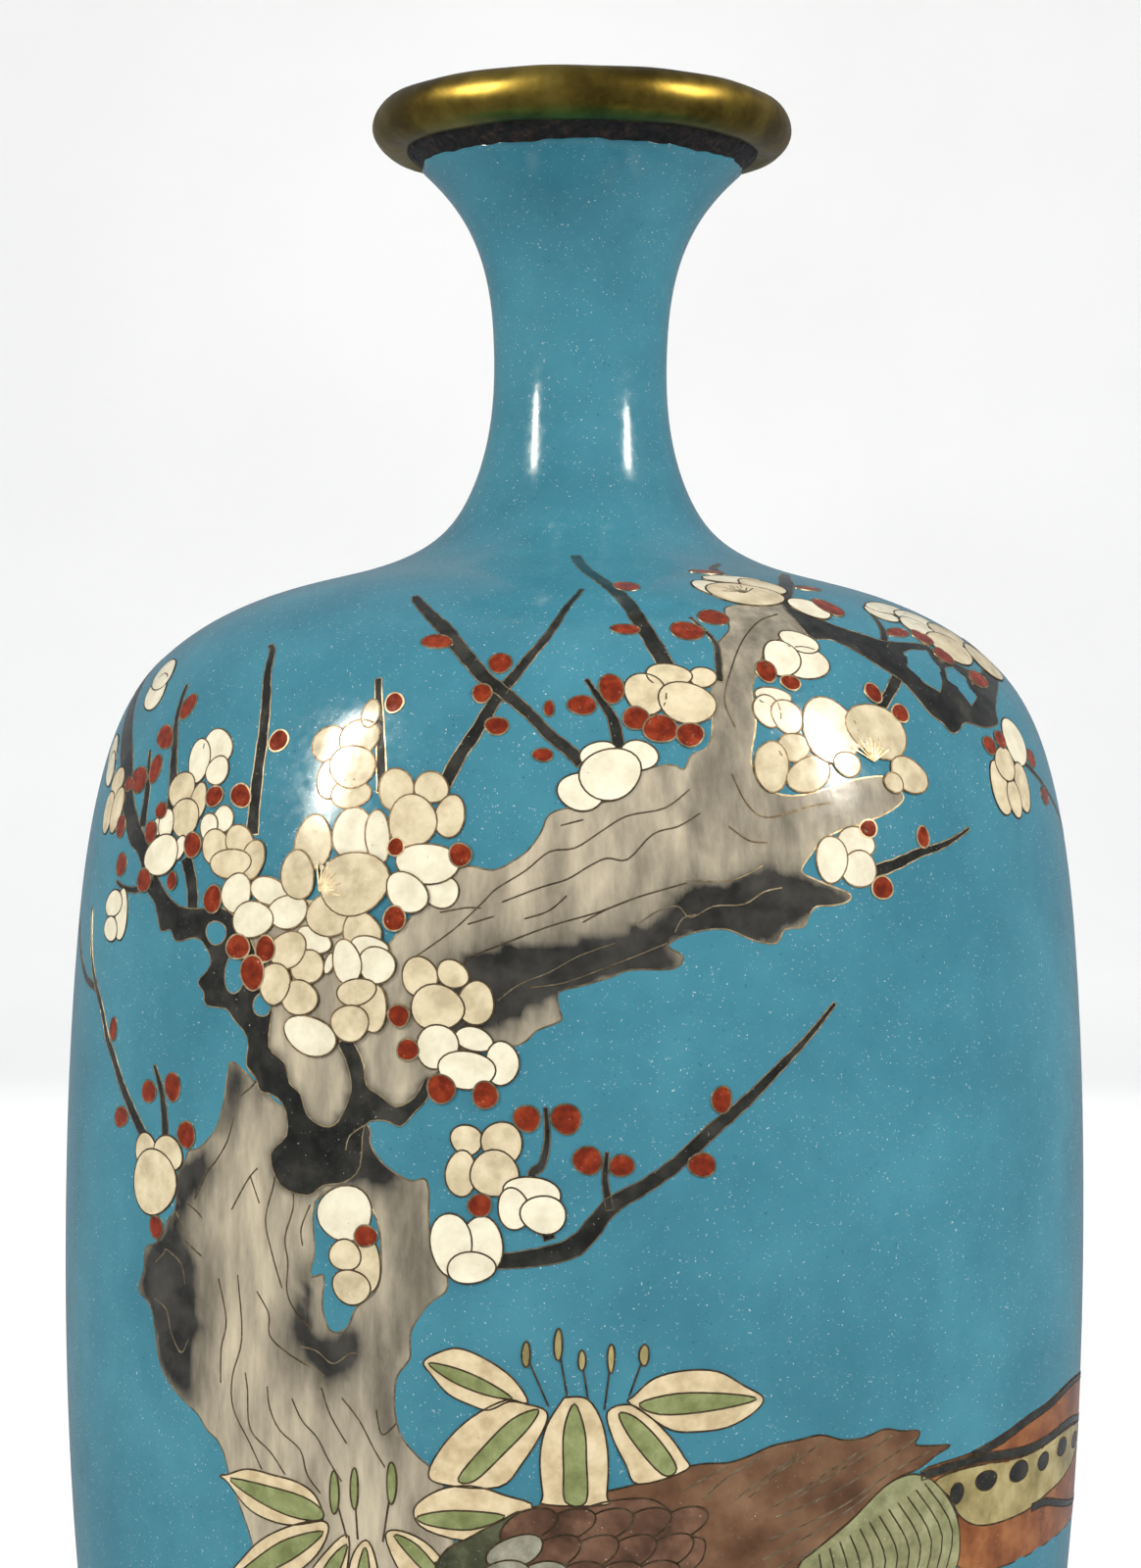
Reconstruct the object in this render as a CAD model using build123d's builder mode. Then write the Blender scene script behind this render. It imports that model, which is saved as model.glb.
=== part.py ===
from build123d import *
import math
import os

os.makedirs("parts", exist_ok=True)

# A cloisonne vase: a copper body and neck soldered together, coated outside with
# a turquoise enamel ground and inside with counter enamel, with a design of plum
# blossom, an old trunk and a pheasant inlaid in enamel cells between thin wires.
# Brass rings finish the foot and the mouth. The vase stands on Z = 0 with its
# axis on Z, and the design faces -Y.

# ---------------------------------------------------------------- driving sizes (mm)
HEIGHT = 254.0
ENAMEL = 1.0  # outer enamel coat, and so the depth of its cells
COPPER = 1.2  # wall of the copper vessel
COUNTER = 0.6  # enamel on the inside
CLOISON = 0.25  # thickness of a cell wire

# The outer face of the enamel from foot to lip, as (radius, height).
PROFILE = [
    (37.0, 3.0), (44.6, 25.0), (51.6, 55.0), (55.9, 85.0), (57.75, 124.0),
    (56.75, 157.0), (54.2, 176.0), (49.6, 187.2), (43.4, 193.0), (31.5, 198.2),
    (20.6, 201.4), (15.4, 204.8), (12.2, 210.0), (10.15, 218.5), (9.95, 226.0),
    (11.2, 235.2), (13.7, 240.9), (17.9, 245.9), (21.0, 248.6),
]
GIRTH_HEIGHT = 126.3  # height of the widest circle, where the tape measure starts

# Ring and base sizes
LIP_RADIUS = 21.1
LIP_SECTION = 3.0
FOOT_OUTER = 38.9
FOOT_INNER = 33.0
FOOT_HEIGHT = 6.0
FOOT_LIP = 1.7  # the foot ring's step under the enamel
FOOT_GROOVE = 0.3  # how much the step tapers in
FOOT_ROUNDING = 0.9
RING_OUTER = 35.0
RING_INNER = 33.8
RING_BOTTOM = 1.2
BASE_TOP = 9.2
BASE_BOTTOM = 8.0
SOLDER = 0.5
SEAM_DEPTH = 0.35  # the mouth's solder lies this far under the enamel's face
SEAM_RISE = 2.0  # and climbs this far to the mouth's ring
STEP_HEIGHT = 5.0  # where the copper wall stands in the foot ring
SEAM_HEIGHT = 206.0  # where body and neck are soldered
COAT_TOP = 245.6  # where the outer enamel stops below the mouth ring
COUNTER_TOP = 243.8
LIP_EDGE_HEIGHT = 249.0  # the copper's own edge, inside the mouth ring
REACH = 17.0  # how far a cell's prism runs each side of the wall

# ---------------------------------------------------------------- the wall's own geometry
with BuildLine() as profile_line:
    Spline(*PROFILE)
profile_curve = profile_line.edge()
PROFILE_LENGTH = profile_curve.length
STATIONS = 24  # points that a wall layer's own curve is drawn through
CLOSE_ENOUGH = 0.001


def tape_to_girth():
    """Length of the profile below the widest circle."""
    low, high = 0.0, PROFILE_LENGTH
    while high - low > CLOSE_ENOUGH:
        middle = (low + high) / 2
        if profile_curve.position_at(middle, PositionMode.LENGTH).Y < GIRTH_HEIGHT:
            low = middle
        else:
            high = middle
    return low


GIRTH_TAPE = tape_to_girth()


def wall_point(tape, depth):
    """Radius and height of the wall at a tape reading, at a depth under its outer face."""
    share = (GIRTH_TAPE + tape) / PROFILE_LENGTH
    point = profile_curve.position_at(share)
    along = profile_curve.tangent_at(share)
    return point.X - along.Y * depth, point.Y + along.X * depth


def wall_curve(depth):
    """Points of one face of a wall layer, from foot to lip."""
    step = PROFILE_LENGTH / STATIONS
    return [wall_point(i * step - GIRTH_TAPE, depth) for i in range(STATIONS + 1)]


def wall_layer(depth_outer, depth_inner):
    """One layer of the whole wall, as a solid of revolution."""
    with BuildPart() as layer:
        with BuildSketch(Plane.XZ):
            with BuildLine():
                outer = Spline(*wall_curve(depth_outer))
                inner = Spline(*wall_curve(depth_inner))
                Line(outer @ 0, inner @ 0)
                Line(outer @ 1, inner @ 1)
            make_face()
        revolve(axis=Axis.Z)
    return layer


def turned_ring(outline):
    """A ring turned about the axis from a closed outline of (radius, height)."""
    with BuildPart() as ring:
        with BuildSketch(Plane.XZ):
            with BuildLine():
                Polyline(*outline, close=True)
            make_face()
        revolve(axis=Axis.Z)
    return ring


def save(piece, label):
    """Label a finished piece and write it."""
    piece.part.label = label
    export_step(piece.part, "parts/" + label + ".step")


# ---------------------------------------------------------------- places on the wall
def on_wall(angle, tape):
    """The outer face's point at an angle round from the front and a tape reading."""
    radius, height = wall_point(tape, 0.0)
    turn = math.radians(angle)
    return Vector(radius * math.sin(turn), -radius * math.cos(turn), height)


def facing_plane(angle, tape):
    """The plane that touches the wall at a place, its X running round the vase."""
    share = (GIRTH_TAPE + tape) / PROFILE_LENGTH
    along = profile_curve.tangent_at(share)
    turn = math.radians(angle)
    outward = (along.Y * math.sin(turn), -along.Y * math.cos(turn), -along.X)
    return Plane(
        origin=on_wall(angle, tape), x_dir=(math.cos(turn), math.sin(turn), 0), z_dir=outward
    )


def flat_point(plane, angle, tape):
    """A place on the wall in a facing plane's own X and Y."""
    local = plane.to_local_coords(on_wall(angle, tape))
    return local.X, local.Y


def outline_sketch(plane, outline, widen=0.0):
    """A cell bounded by straight runs between places on the wall."""
    with BuildSketch(plane) as cell:
        with BuildLine():
            Polyline(*[flat_point(plane, *place) for place in outline], close=True)
        make_face()
        if widen:
            offset(amount=widen, kind=Kind.INTERSECTION)
    return cell.sketch


def stroke_outline(path, width_start, width_end):
    """A twig's outline: its path thickened by a width that tapers along it."""
    left, right = [], []
    last = len(path) - 1
    degree = math.radians(1.0) * wall_point(path[0][1], 0.0)[0]  # mm round the wall
    for i, (angle, tape) in enumerate(path):
        before, after = path[max(i - 1, 0)], path[min(i + 1, last)]
        run_x = (after[0] - before[0]) * degree
        run_y = after[1] - before[1]
        half = (width_start + (width_end - width_start) * i / last) / 2 / math.hypot(run_x, run_y)
        left.append((angle - run_y * half / degree, tape + run_x * half))
        right.append((angle + run_y * half / degree, tape - run_x * half))
    return left + right[::-1]


def prism(sketch):
    """A sketch run straight out through the wall, from well inside it."""
    inward = sketch.faces()[0].normal_at() * -REACH
    return extrude(Pos(inward) * sketch, amount=2 * REACH, mode=Mode.PRIVATE)


# ---------------------------------------------------------------- the design, back to front
# Ovals are (angle, tape, half width, half height, tilt): here one for each flower.
FLOWERS = {
    "white": [
        (-45.6, 52.8, 3.3, 2.6, 0), (-51.3, 42.8, 3.2, 2.4, 8), (-34.2, 36.9, 3.6, 2.2, 0),
        (-10.6, 22.6, 3.2, 2.2, 0), (3.2, 51.4, 3.4, 2.4, 10), (27.4, 64.8, 3.2, 2.8, 0),
        (29.2, 43.0, 3.0, 2.4, 0), (59.4, 73.2, 4.6, 3.0, 0), (-10.4, 4.2, 2.6, 3.0, 0),
    ],
    "cream": [
        (-39.2, 42.6, 3.2, 2.2, 0), (-30.0, 30.6, 3.2, 2.4, 0), (-25.4, 40.2, 4.6, 3.6, 0),
        (-26.4, 52.6, 3.0, 3.2, 0), (-16.6, 48.0, 3.2, 2.8, 0), (-13.6, 29.4, 3.2, 2.6, 0),
        (10.0, 60.2, 3.2, 2.6, 0), (32.4, 55.2, 5.4, 3.2, 0), (28.6, 79.4, 5.0, 3.4, 0),
        (58.2, 50.0, 4.0, 2.6, 0), (-9.2, 13.2, 2.8, 2.6, 0), (-48.8, 9.0, 3.2, 3.0, 0),
    ],
}

BUDS = [
    (-52.8, 58.3, 1.5, 1.5, 0), (-62.4, 45.4, 1.6, 1.6, 0), (-38.2, 48.9, 1.4, 1.3, 0),
    (-20.6, 34.2, 1.3, 1.3, 0), (-9.3, 63.4, 1.3, 1.3, 0), (7.6, 78.4, 1.5, 1.5, 0),
    (38.0, 60.0, 1.5, 1.3, 0), (43.5, 74.2, 1.5, 1.6, 0), (-50.3, 17.8, 1.4, 1.4, 0),
    (-3.2, 18.2, 1.5, 1.4, 0), (14.3, 19.9, 1.2, 1.3, 0),
]

# Twigs are (path of (angle, tape), width at its start, width at its end).
TWIGS = [
    ([(-24.8, 74.5), (-20.1, 70.5), (-14.7, 65.3), (-9.6, 60.2), (-4.2, 55.9), (0.3, 52.1)], 1.0, 1.4),
    ([(-1, 93), (0.5, 88), (3.9, 80), (6.8, 74), (8.9, 66.8), (10.1, 63.8)], 1.0, 1.7),
    ([(-7, 3.4), (-2, 4.5), (4, 9.2), (10, 13), (16.7, 18.7), (23.3, 24.7), (26.7, 28.2)], 1.4, 0.5),
    ([(33.4, 76.6), (39, 80.1), (46.1, 84.4), (53.3, 86.9)], 1.6, 1.0),
]

# Dark branches: the left one crosses to the trunk, the right one leaves the arm.
DARK_BRANCHES = [
    [
        (-75, 61), (-61, 48.7), (-50, 38.5), (-38, 35.2), (-33, 27.5), (-30.5, 21), (-27.6, 16.7),
        (-30.6, 14.6), (-34, 20), (-41.3, 27), (-41, 31.5), (-51.3, 37), (-62.5, 46.8), (-75, 58),
    ],
    [
        (32.8, 75.0), (36.9, 70.3), (43.3, 67.2), (53, 67), (53, 66), (45, 63.4), (48.5, 60),
        (55, 58.6), (64, 62.2), (64, 60.6), (59, 57), (47.4, 55.8), (39.9, 63.3), (32.2, 69.0),
    ],
]
TRUNKS = [
    [
        (-35.3, 20.4), (-38.2, 16.6), (-43.7, 11.1), (-45.3, 5.7), (-51.6, -3), (-46.5, -11.5),
        (-37.9, -18), (-34.7, -25), (-34, -34), (-42, -52), (-20, -52), (-19, -24), (-17.8, -10.6),
        (-16.2, -4.2), (-12.5, 1.2), (-14.4, 9.9), (-21.5, 13.5), (-30.6, 12.6),
    ],
    [
        (-22.4, 24), (-17.9, 18.1), (-1.8, 28), (9.5, 31.8), (13, 35.6), (24, 36.9), (24, 41.4),
        (36.9, 48.3), (34.7, 51), (19.9, 49.7), (19.7, 56.4), (22.4, 64.2), (31.1, 68.1),
        (31.4, 75.8), (21.3, 73.1), (17.3, 66.1), (11.1, 51.5), (-11.8, 41.6), (-19.5, 34),
    ],
]

# Leaf sprays: each leaf is a cream blade with a green midrib.
LEAVES = [
    [(-14.8, -6.8), (-11.3, -5.3), (-6, -8), (-4.5, -10.3), (-8.3, -11.2), (-12.3, -9.8)],
    [(-4.6, -12.2), (-10, -12.8), (-14.3, -17.7), (-9.7, -19.0), (-5, -16.3)],
    [(-0.7, -9.8), (-3.0, -14.7), (-2.7, -18.6), (3.2, -18.3), (3.0, -14.3), (1.3, -10)],
    [(5.7, -9.7), (10.7, -7.3), (16.7, -9), (18.7, -10.3), (15, -13), (7.5, -12)],
]
MIDRIBS = [
    [(-13.2, -7.3), (-9, -7.5), (-6.6, -9.4), (-9.5, -9.4)],
    [(-6.4, -13.4), (-11.5, -17.2), (-9.7, -17.6), (-6.0, -14.8)],
    [(0.0, -11.4), (-0.9, -17.2), (1.2, -17.2)],
    [(7.8, -10.6), (12, -9.7), (16.8, -10.5), (12, -11.3)],
]

# The pheasant, walking to the left with its tail trailing round to the right.
BIRD_BACK = [
    (-15, -29), (-9.9, -24), (-2.4, -20.6), (7.6, -18.4), (17.2, -16.2), (25.1, -14.6),
    (32.6, -14.8), (35.2, -17.8), (29.7, -22.2), (22.9, -27.0), (19, -34), (10, -38), (-4, -39),
    (-11, -36),
]
BIRD_RUMP = [
    (33.6, -20.6), (36.4, -20.4), (41.4, -23.1), (42.4, -26.5), (41.6, -31.1), (33, -34.2),
    (21.6, -33.0), (24.6, -27.4), (30.3, -23.0),
]
BIRD_TAIL = [
    (38.4, -19.6), (50.1, -18.4), (60, -16.4), (72, -15.2), (88, -16.4), (108, -20.5),
    (124, -25.5), (106, -28.5), (84, -31), (60, -31.6), (44.6, -30.6), (45.0, -25.8), (43.4, -22.6),
]
BIRD_NECK = [
    (-16.2, -29.8), (-12.4, -36.2), (-15.5, -41), (-20.6, -43.2), (-26, -42.6), (-25.2, -39.6),
    (-21.4, -34.4),
]

# ---------------------------------------------------------------- copper vessel
COPPER_IN = ENAMEL + COPPER
COUNTER_IN = COPPER_IN + COUNTER


def between(layer, low, high):
    """Trim a wall layer to the heights that its piece covers."""
    with layer:
        split(bisect_by=Plane.XY.offset(low), keep=Keep.TOP)
        split(bisect_by=Plane.XY.offset(high), keep=Keep.BOTTOM)
    return layer


copper_body = between(wall_layer(ENAMEL, COPPER_IN), STEP_HEIGHT, SEAM_HEIGHT)
save(copper_body, "copper_body")

neck_solder_seam = between(wall_layer(ENAMEL, COPPER_IN), SEAM_HEIGHT, SEAM_HEIGHT + SOLDER)
save(neck_solder_seam, "neck_solder_seam")

copper_neck = between(wall_layer(ENAMEL, COPPER_IN), SEAM_HEIGHT + SOLDER, LIP_EDGE_HEIGHT)
save(copper_neck, "copper_neck")


def inside_radius(height):
    """Radius of the copper's inner face at a height near the foot."""
    low, high = -GIRTH_TAPE, 0.0
    while high - low > CLOSE_ENOUGH:
        middle = (low + high) / 2
        if wall_point(middle, COPPER_IN)[1] < height:
            low = middle
        else:
            high = middle
    return wall_point(low, COPPER_IN)[0]


plate_low = inside_radius(BASE_BOTTOM)
plate_high = inside_radius(BASE_TOP)
copper_base_plate = turned_ring(
    [
        (0, BASE_BOTTOM), (plate_low - SOLDER, BASE_BOTTOM),
        (plate_high - SOLDER, BASE_TOP), (0, BASE_TOP),
    ]
)
save(copper_base_plate, "copper_base_plate")

base_solder_seam = turned_ring(
    [
        (plate_low - SOLDER, BASE_BOTTOM), (plate_low, BASE_BOTTOM),
        (plate_high, BASE_TOP), (plate_high - SOLDER, BASE_TOP),
    ]
)
save(base_solder_seam, "base_solder_seam")

copper_foot_ring = turned_ring(
    [
        (RING_INNER, RING_BOTTOM), (RING_OUTER, RING_BOTTOM),
        (RING_OUTER, BASE_BOTTOM), (RING_INNER, BASE_BOTTOM),
    ]
)
save(copper_foot_ring, "copper_foot_ring")

with BuildPart() as base_counter_enamel:
    with BuildSketch(Plane.XY.offset(BASE_BOTTOM - COUNTER)):
        Circle(RING_INNER)
    extrude(amount=COUNTER)
save(base_counter_enamel, "base_counter_enamel")

# ---------------------------------------------------------------- brass rings
step_radius = FOOT_OUTER - FOOT_LIP
foot_rim = turned_ring(
    [
        (FOOT_INNER, 0), (FOOT_OUTER, 0), (FOOT_OUTER, FOOT_HEIGHT), (step_radius, FOOT_HEIGHT),
        (step_radius - FOOT_GROOVE, STEP_HEIGHT), (RING_OUTER, STEP_HEIGHT), (RING_OUTER, RING_BOTTOM),
        (RING_INNER, RING_BOTTOM), (RING_INNER, FOOT_HEIGHT), (FOOT_INNER, FOOT_HEIGHT),
    ]
)
with foot_rim:
    outer_edges = foot_rim.edges().filter_by(lambda edge: edge.length > 2 * math.pi * FOOT_OUTER - 1)
    fillet(outer_edges, FOOT_ROUNDING)
save(foot_rim, "foot_rim")

with BuildPart() as mouth_rim:
    with BuildSketch(Plane.XZ):
        with Locations((LIP_RADIUS, HEIGHT - LIP_SECTION)):
            Circle(LIP_SECTION)
    revolve(axis=Axis.Z)
    add(copper_neck.part, mode=Mode.SUBTRACT)
save(mouth_rim, "mouth_rim")

mouth_solder_seam = between(wall_layer(SEAM_DEPTH, ENAMEL), COAT_TOP, COAT_TOP + SEAM_RISE)
with mouth_solder_seam:
    add(mouth_rim.part, mode=Mode.SUBTRACT)
save(mouth_solder_seam, "mouth_solder_seam")

# ---------------------------------------------------------------- enamel inside
counter_enamel = between(wall_layer(COPPER_IN, COUNTER_IN), BASE_TOP, COUNTER_TOP)
save(counter_enamel, "counter_enamel")

# ---------------------------------------------------------------- enamel outside
coat = between(wall_layer(0.0, ENAMEL), FOOT_HEIGHT, COAT_TOP)


def oval_sketch(oval, widen=0.0):
    """An oval or round cell on the plane that touches the wall at its middle."""
    angle, tape, half_width, half_height, tilt = oval
    with BuildSketch(facing_plane(angle, tape)) as cell:
        if half_width == half_height:
            Circle(half_width + widen)
        else:
            Ellipse(half_width + widen, half_height + widen, rotation=tilt)
    return cell.sketch


def middle_plane(outline):
    """The plane that touches the wall at the middle of an outline."""
    angles = [place[0] for place in outline]
    tapes = [place[1] for place in outline]
    return facing_plane((min(angles) + max(angles)) / 2, (min(tapes) + max(tapes)) / 2)


def outline_sketches(planes, outlines):
    """Cells drawn by outlines, and the same cells with their wires."""
    cells = [outline_sketch(plane, outline) for plane, outline in zip(planes, outlines)]
    wholes = [outline_sketch(plane, outline, CLOISON) for plane, outline in zip(planes, outlines)]
    return cells, wholes


def inlaid(sketches, in_front):
    """Pieces of the enamel coat under some sketches, less what lies in front of them."""
    with BuildPart() as piece:
        add([coat.part & prism(sketch) for sketch in sketches])
        for sketch in in_front:
            add(prism(sketch), mode=Mode.SUBTRACT)
    return piece


laid = []  # whole outlines, wires and all, of what has been laid, front first


def lay(cells, wholes, label):
    """Lay cells of one kind and their wires, behind all that was laid before."""
    save(inlaid(cells, laid), label + "_enamel")
    save(inlaid(wholes, laid + cells), label + "_cloisons")
    laid.extend(wholes)


def lay_ovals(ovals, label):
    """Lay cells drawn by ovals."""
    lay([oval_sketch(oval) for oval in ovals], [oval_sketch(oval, CLOISON) for oval in ovals], label)


def lay_outlines(outlines, label):
    """Lay cells drawn by outlines."""
    planes = [middle_plane(outline) for outline in outlines]
    lay(*outline_sketches(planes, outlines), label)


for colour, ovals in FLOWERS.items():
    lay_ovals(ovals, "blossom_" + colour)
lay_ovals(BUDS, "bud")

leaf_planes = [middle_plane(outline) for outline in LEAVES]
lay(*outline_sketches(leaf_planes, MIDRIBS), "leaf_midrib")
lay(*outline_sketches(leaf_planes, LEAVES), "leaf_blade")

lay_outlines([BIRD_NECK], "pheasant_neck")
lay_outlines([BIRD_BACK], "pheasant_back")
lay_outlines([BIRD_RUMP], "pheasant_rump")
lay_outlines([BIRD_TAIL], "pheasant_tail")
lay_outlines(DARK_BRANCHES, "dark_branch")
lay_outlines(TRUNKS, "trunk")
lay_outlines([stroke_outline(*twig) for twig in TWIGS], "twig")

with BuildPart() as ground_enamel:
    add(coat.part)
    for sketch in laid:
        add(prism(sketch), mode=Mode.SUBTRACT)
save(ground_enamel, "ground_enamel")
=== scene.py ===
import math

import bpy
import numpy as np
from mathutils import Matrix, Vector
from mathutils.geometry import delaunay_2d_cdt


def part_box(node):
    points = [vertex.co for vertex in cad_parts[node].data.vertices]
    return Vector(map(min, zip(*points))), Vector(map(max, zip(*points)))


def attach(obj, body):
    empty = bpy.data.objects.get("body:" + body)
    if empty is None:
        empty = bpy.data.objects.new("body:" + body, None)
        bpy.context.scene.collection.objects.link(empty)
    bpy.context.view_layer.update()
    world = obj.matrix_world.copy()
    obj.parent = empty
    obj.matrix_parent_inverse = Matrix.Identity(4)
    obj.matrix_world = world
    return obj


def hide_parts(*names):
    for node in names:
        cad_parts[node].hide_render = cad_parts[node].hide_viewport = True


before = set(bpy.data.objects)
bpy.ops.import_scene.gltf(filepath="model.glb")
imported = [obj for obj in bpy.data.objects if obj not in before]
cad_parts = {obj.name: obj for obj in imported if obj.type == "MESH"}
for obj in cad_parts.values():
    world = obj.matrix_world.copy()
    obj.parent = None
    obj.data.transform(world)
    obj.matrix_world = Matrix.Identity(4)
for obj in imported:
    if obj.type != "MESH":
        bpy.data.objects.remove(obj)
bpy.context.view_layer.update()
MM = 0.001

# ---------------------------------------------------------------- the wall (mm)
# The enamel's outer face from foot to lip, as (radius, height), as in the CAD.
PROFILE = [
    (37.0, 3.0), (44.6, 25.0), (51.6, 55.0), (55.9, 85.0), (57.75, 124.0),
    (56.75, 157.0), (54.2, 176.0), (49.6, 187.2), (43.4, 193.0), (31.5, 198.2),
    (20.6, 201.4), (15.4, 204.8), (12.2, 210.0), (10.15, 218.5), (9.95, 226.0),
    (11.2, 235.2), (13.7, 240.9), (17.9, 245.9), (21.0, 248.6),
]
FOOT_TOP = 6.0  # height where the enamel starts, on the foot's brass
COAT_TOP = 246.3  # height where the ground enamel ends, under the mouth's brass
COAT_DEPTH = 0.9
LEVEL = 0.012  # how far each layer of cells stands above the one behind it
WIRE_RISE = 0.5  # levels that a wire's top stands above the level that it is laid at
OUTLINE_RISE = 0.2  # and how much higher the wire round a cell is laid than the cell
CELL_DEPTH = 0.25
WIRE_WIDTH = 0.17
EDGE_WIDTH = 0.13  # the finer wire round black cells and on the bark
SHINE = 0.4  # how strongly polished enamel reflects
GRID = 1.0  # spacing of the points that bend a cell round the wall
GRID_MARGIN = 0.3  # share of GRID that those points keep from the cell's outline
CURVE_POINTS = 6000


def spline_through(points, count):
    """Points along a natural cubic spline, by chord length."""
    knots = np.array(points, float)
    chord = np.r_[0, np.cumsum(np.linalg.norm(np.diff(knots, axis=0), axis=1))]
    gap = np.diff(chord)
    size = len(knots)
    matrix = np.eye(size)
    right = np.zeros((size, 2))
    for i in range(1, size - 1):
        matrix[i, i - 1:i + 2] = gap[i - 1], 2 * (gap[i - 1] + gap[i]), gap[i]
        slope_after = (knots[i + 1] - knots[i]) / gap[i]
        slope_before = (knots[i] - knots[i - 1]) / gap[i - 1]
        right[i] = 6 * (slope_after - slope_before)
    bend = np.linalg.solve(matrix, right)
    along = np.linspace(0, chord[-1], count)
    part = np.clip(np.searchsorted(chord, along) - 1, 0, size - 2)
    h = gap[part][:, None]
    a = (chord[part + 1] - along)[:, None]
    b = (along - chord[part])[:, None]
    return (
        (bend[part] * a**3 + bend[part + 1] * b**3) / (6 * h)
        + (knots[part] / h - bend[part] * h / 6) * a
        + (knots[part + 1] / h - bend[part + 1] * h / 6) * b
    )


curve = spline_through(PROFILE, CURVE_POINTS)
tape_table = np.r_[0, np.cumsum(np.linalg.norm(np.diff(curve, axis=0), axis=1))]
# The tape starts at the girth, the widest place of the curve's lower half.
tape_table -= tape_table[np.argmax(curve[:CURVE_POINTS // 2, 0])]
slope = np.gradient(curve, axis=0)
slope /= np.linalg.norm(slope, axis=1)[:, None]


def wall(tape):
    """Radius, height and outward normal (radial, up) of the wall at tape readings."""
    radius = np.interp(tape, tape_table, curve[:, 0])
    height = np.interp(tape, tape_table, curve[:, 1])
    out = np.interp(tape, tape_table, slope[:, 1])
    up = -np.interp(tape, tape_table, slope[:, 0])
    return radius, height, out, up


def tape_at(height):
    """Tape reading at a height."""
    return float(np.interp(height, curve[:, 1], tape_table))


def on_wall(angle, tape, lift=0.0):
    """Point and normal on the wall, in metres, at an angle round from the front."""
    radius, height, out, up = wall(tape)
    turn = np.radians(angle)
    away = radius + out * lift
    point = np.stack([away * np.sin(turn), -away * np.cos(turn), height + up * lift], -1) * MM
    normal = np.stack([out * np.sin(turn), -out * np.cos(turn), up + 0 * turn], -1)
    return point, normal


def mm_per_degree(tape):
    """Millimetres round the wall in one degree, at a tape reading."""
    return float(wall(tape)[0]) * math.pi / 180


# ---------------------------------------------------------------- materials
def tree_of(name):
    """A new material, its node tree and its main shader."""
    material = bpy.data.materials.new(name)
    material.use_nodes = True
    tree = material.node_tree
    return material, tree, tree.nodes["Principled BSDF"]


def noise(tree, scale, detail=3.0, rough=0.5, stretch=1.0):
    """Noise in object space, drawn out upwards; scale is in features per metre."""
    place = tree.nodes.new("ShaderNodeTexCoord")
    drawn = tree.nodes.new("ShaderNodeMapping")
    drawn.inputs["Scale"].default_value = (1, 1, 1 / stretch)
    texture = tree.nodes.new("ShaderNodeTexNoise")
    texture.inputs["Scale"].default_value = scale
    texture.inputs["Detail"].default_value = detail
    texture.inputs["Roughness"].default_value = rough
    tree.links.new(place.outputs["Object"], drawn.inputs["Vector"])
    tree.links.new(drawn.outputs["Vector"], texture.inputs["Vector"])
    return texture.outputs["Fac"]


def ramp(tree, value, stops):
    """Colour ramp from (position, colour) stops."""
    node = tree.nodes.new("ShaderNodeValToRGB")
    elements = node.color_ramp.elements
    while len(elements) < len(stops):
        elements.new(0.5)
    for element, (position, colour) in zip(elements, stops):
        element.position = position
        element.color = (*colour, 1)
    tree.links.new(value, node.inputs["Fac"])
    return node.outputs["Color"]


def blend(tree, share, first, second):
    """Mix two colours by a share."""
    node = tree.nodes.new("ShaderNodeMix")
    node.data_type = "RGBA"
    tree.links.new(share, node.inputs["Factor"])
    tree.links.new(first, node.inputs["A"])
    tree.links.new(second, node.inputs["B"])
    return node.outputs["Result"]


def grey(tree, value, low, high, dark, light):
    """A value stretched between two limits, as a grey."""
    return ramp(tree, value, [(low, (dark,) * 3), (high, (light,) * 3)])


def bump(tree, shader, height, strength, distance):
    """Fine relief from a height value; distance is in metres."""
    node = tree.nodes.new("ShaderNodeBump")
    node.inputs["Strength"].default_value = strength
    node.inputs["Distance"].default_value = distance
    tree.links.new(height, node.inputs["Height"])
    tree.links.new(node.outputs["Normal"], shader.inputs["Normal"])


def polish(tree, shader, rough):
    """The surface that all ground and polished enamel has: patchy sheen and a slight ripple."""
    tree.links.new(grey(tree, noise(tree, 900.0, 5.0), 0.3, 0.7, *rough), shader.inputs["Roughness"])
    bump(tree, shader, noise(tree, 700.0, 6.0, 0.62), 0.22, 0.00006)
    shader.inputs["Specular IOR Level"].default_value = SHINE


def enamel(name, deep, plain, pale, mottle=420.0, rough=(0.1, 0.24), speck_from=0.7):
    """Fired and polished glass: clouded colour, fine pits and specks, slight ripple."""
    material, tree, shader = tree_of(name)
    cloud = ramp(tree, noise(tree, mottle, 4.0, 0.6), [(0.34, deep), (0.5, plain), (0.68, pale)])
    specks = grey(tree, noise(tree, 3600.0, 2.0, 0.7), speck_from, speck_from + 0.05, 0.0, 1.0)
    dark = tuple(channel * 0.35 for channel in deep)
    dusty = tuple(0.35 + channel * 0.5 for channel in pale)
    speck_colour = ramp(tree, noise(tree, 900.0), [(0.47, dark), (0.5, dusty)])
    tree.links.new(blend(tree, specks, cloud, speck_colour), shader.inputs["Base Color"])
    polish(tree, shader, rough)
    return material


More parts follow.
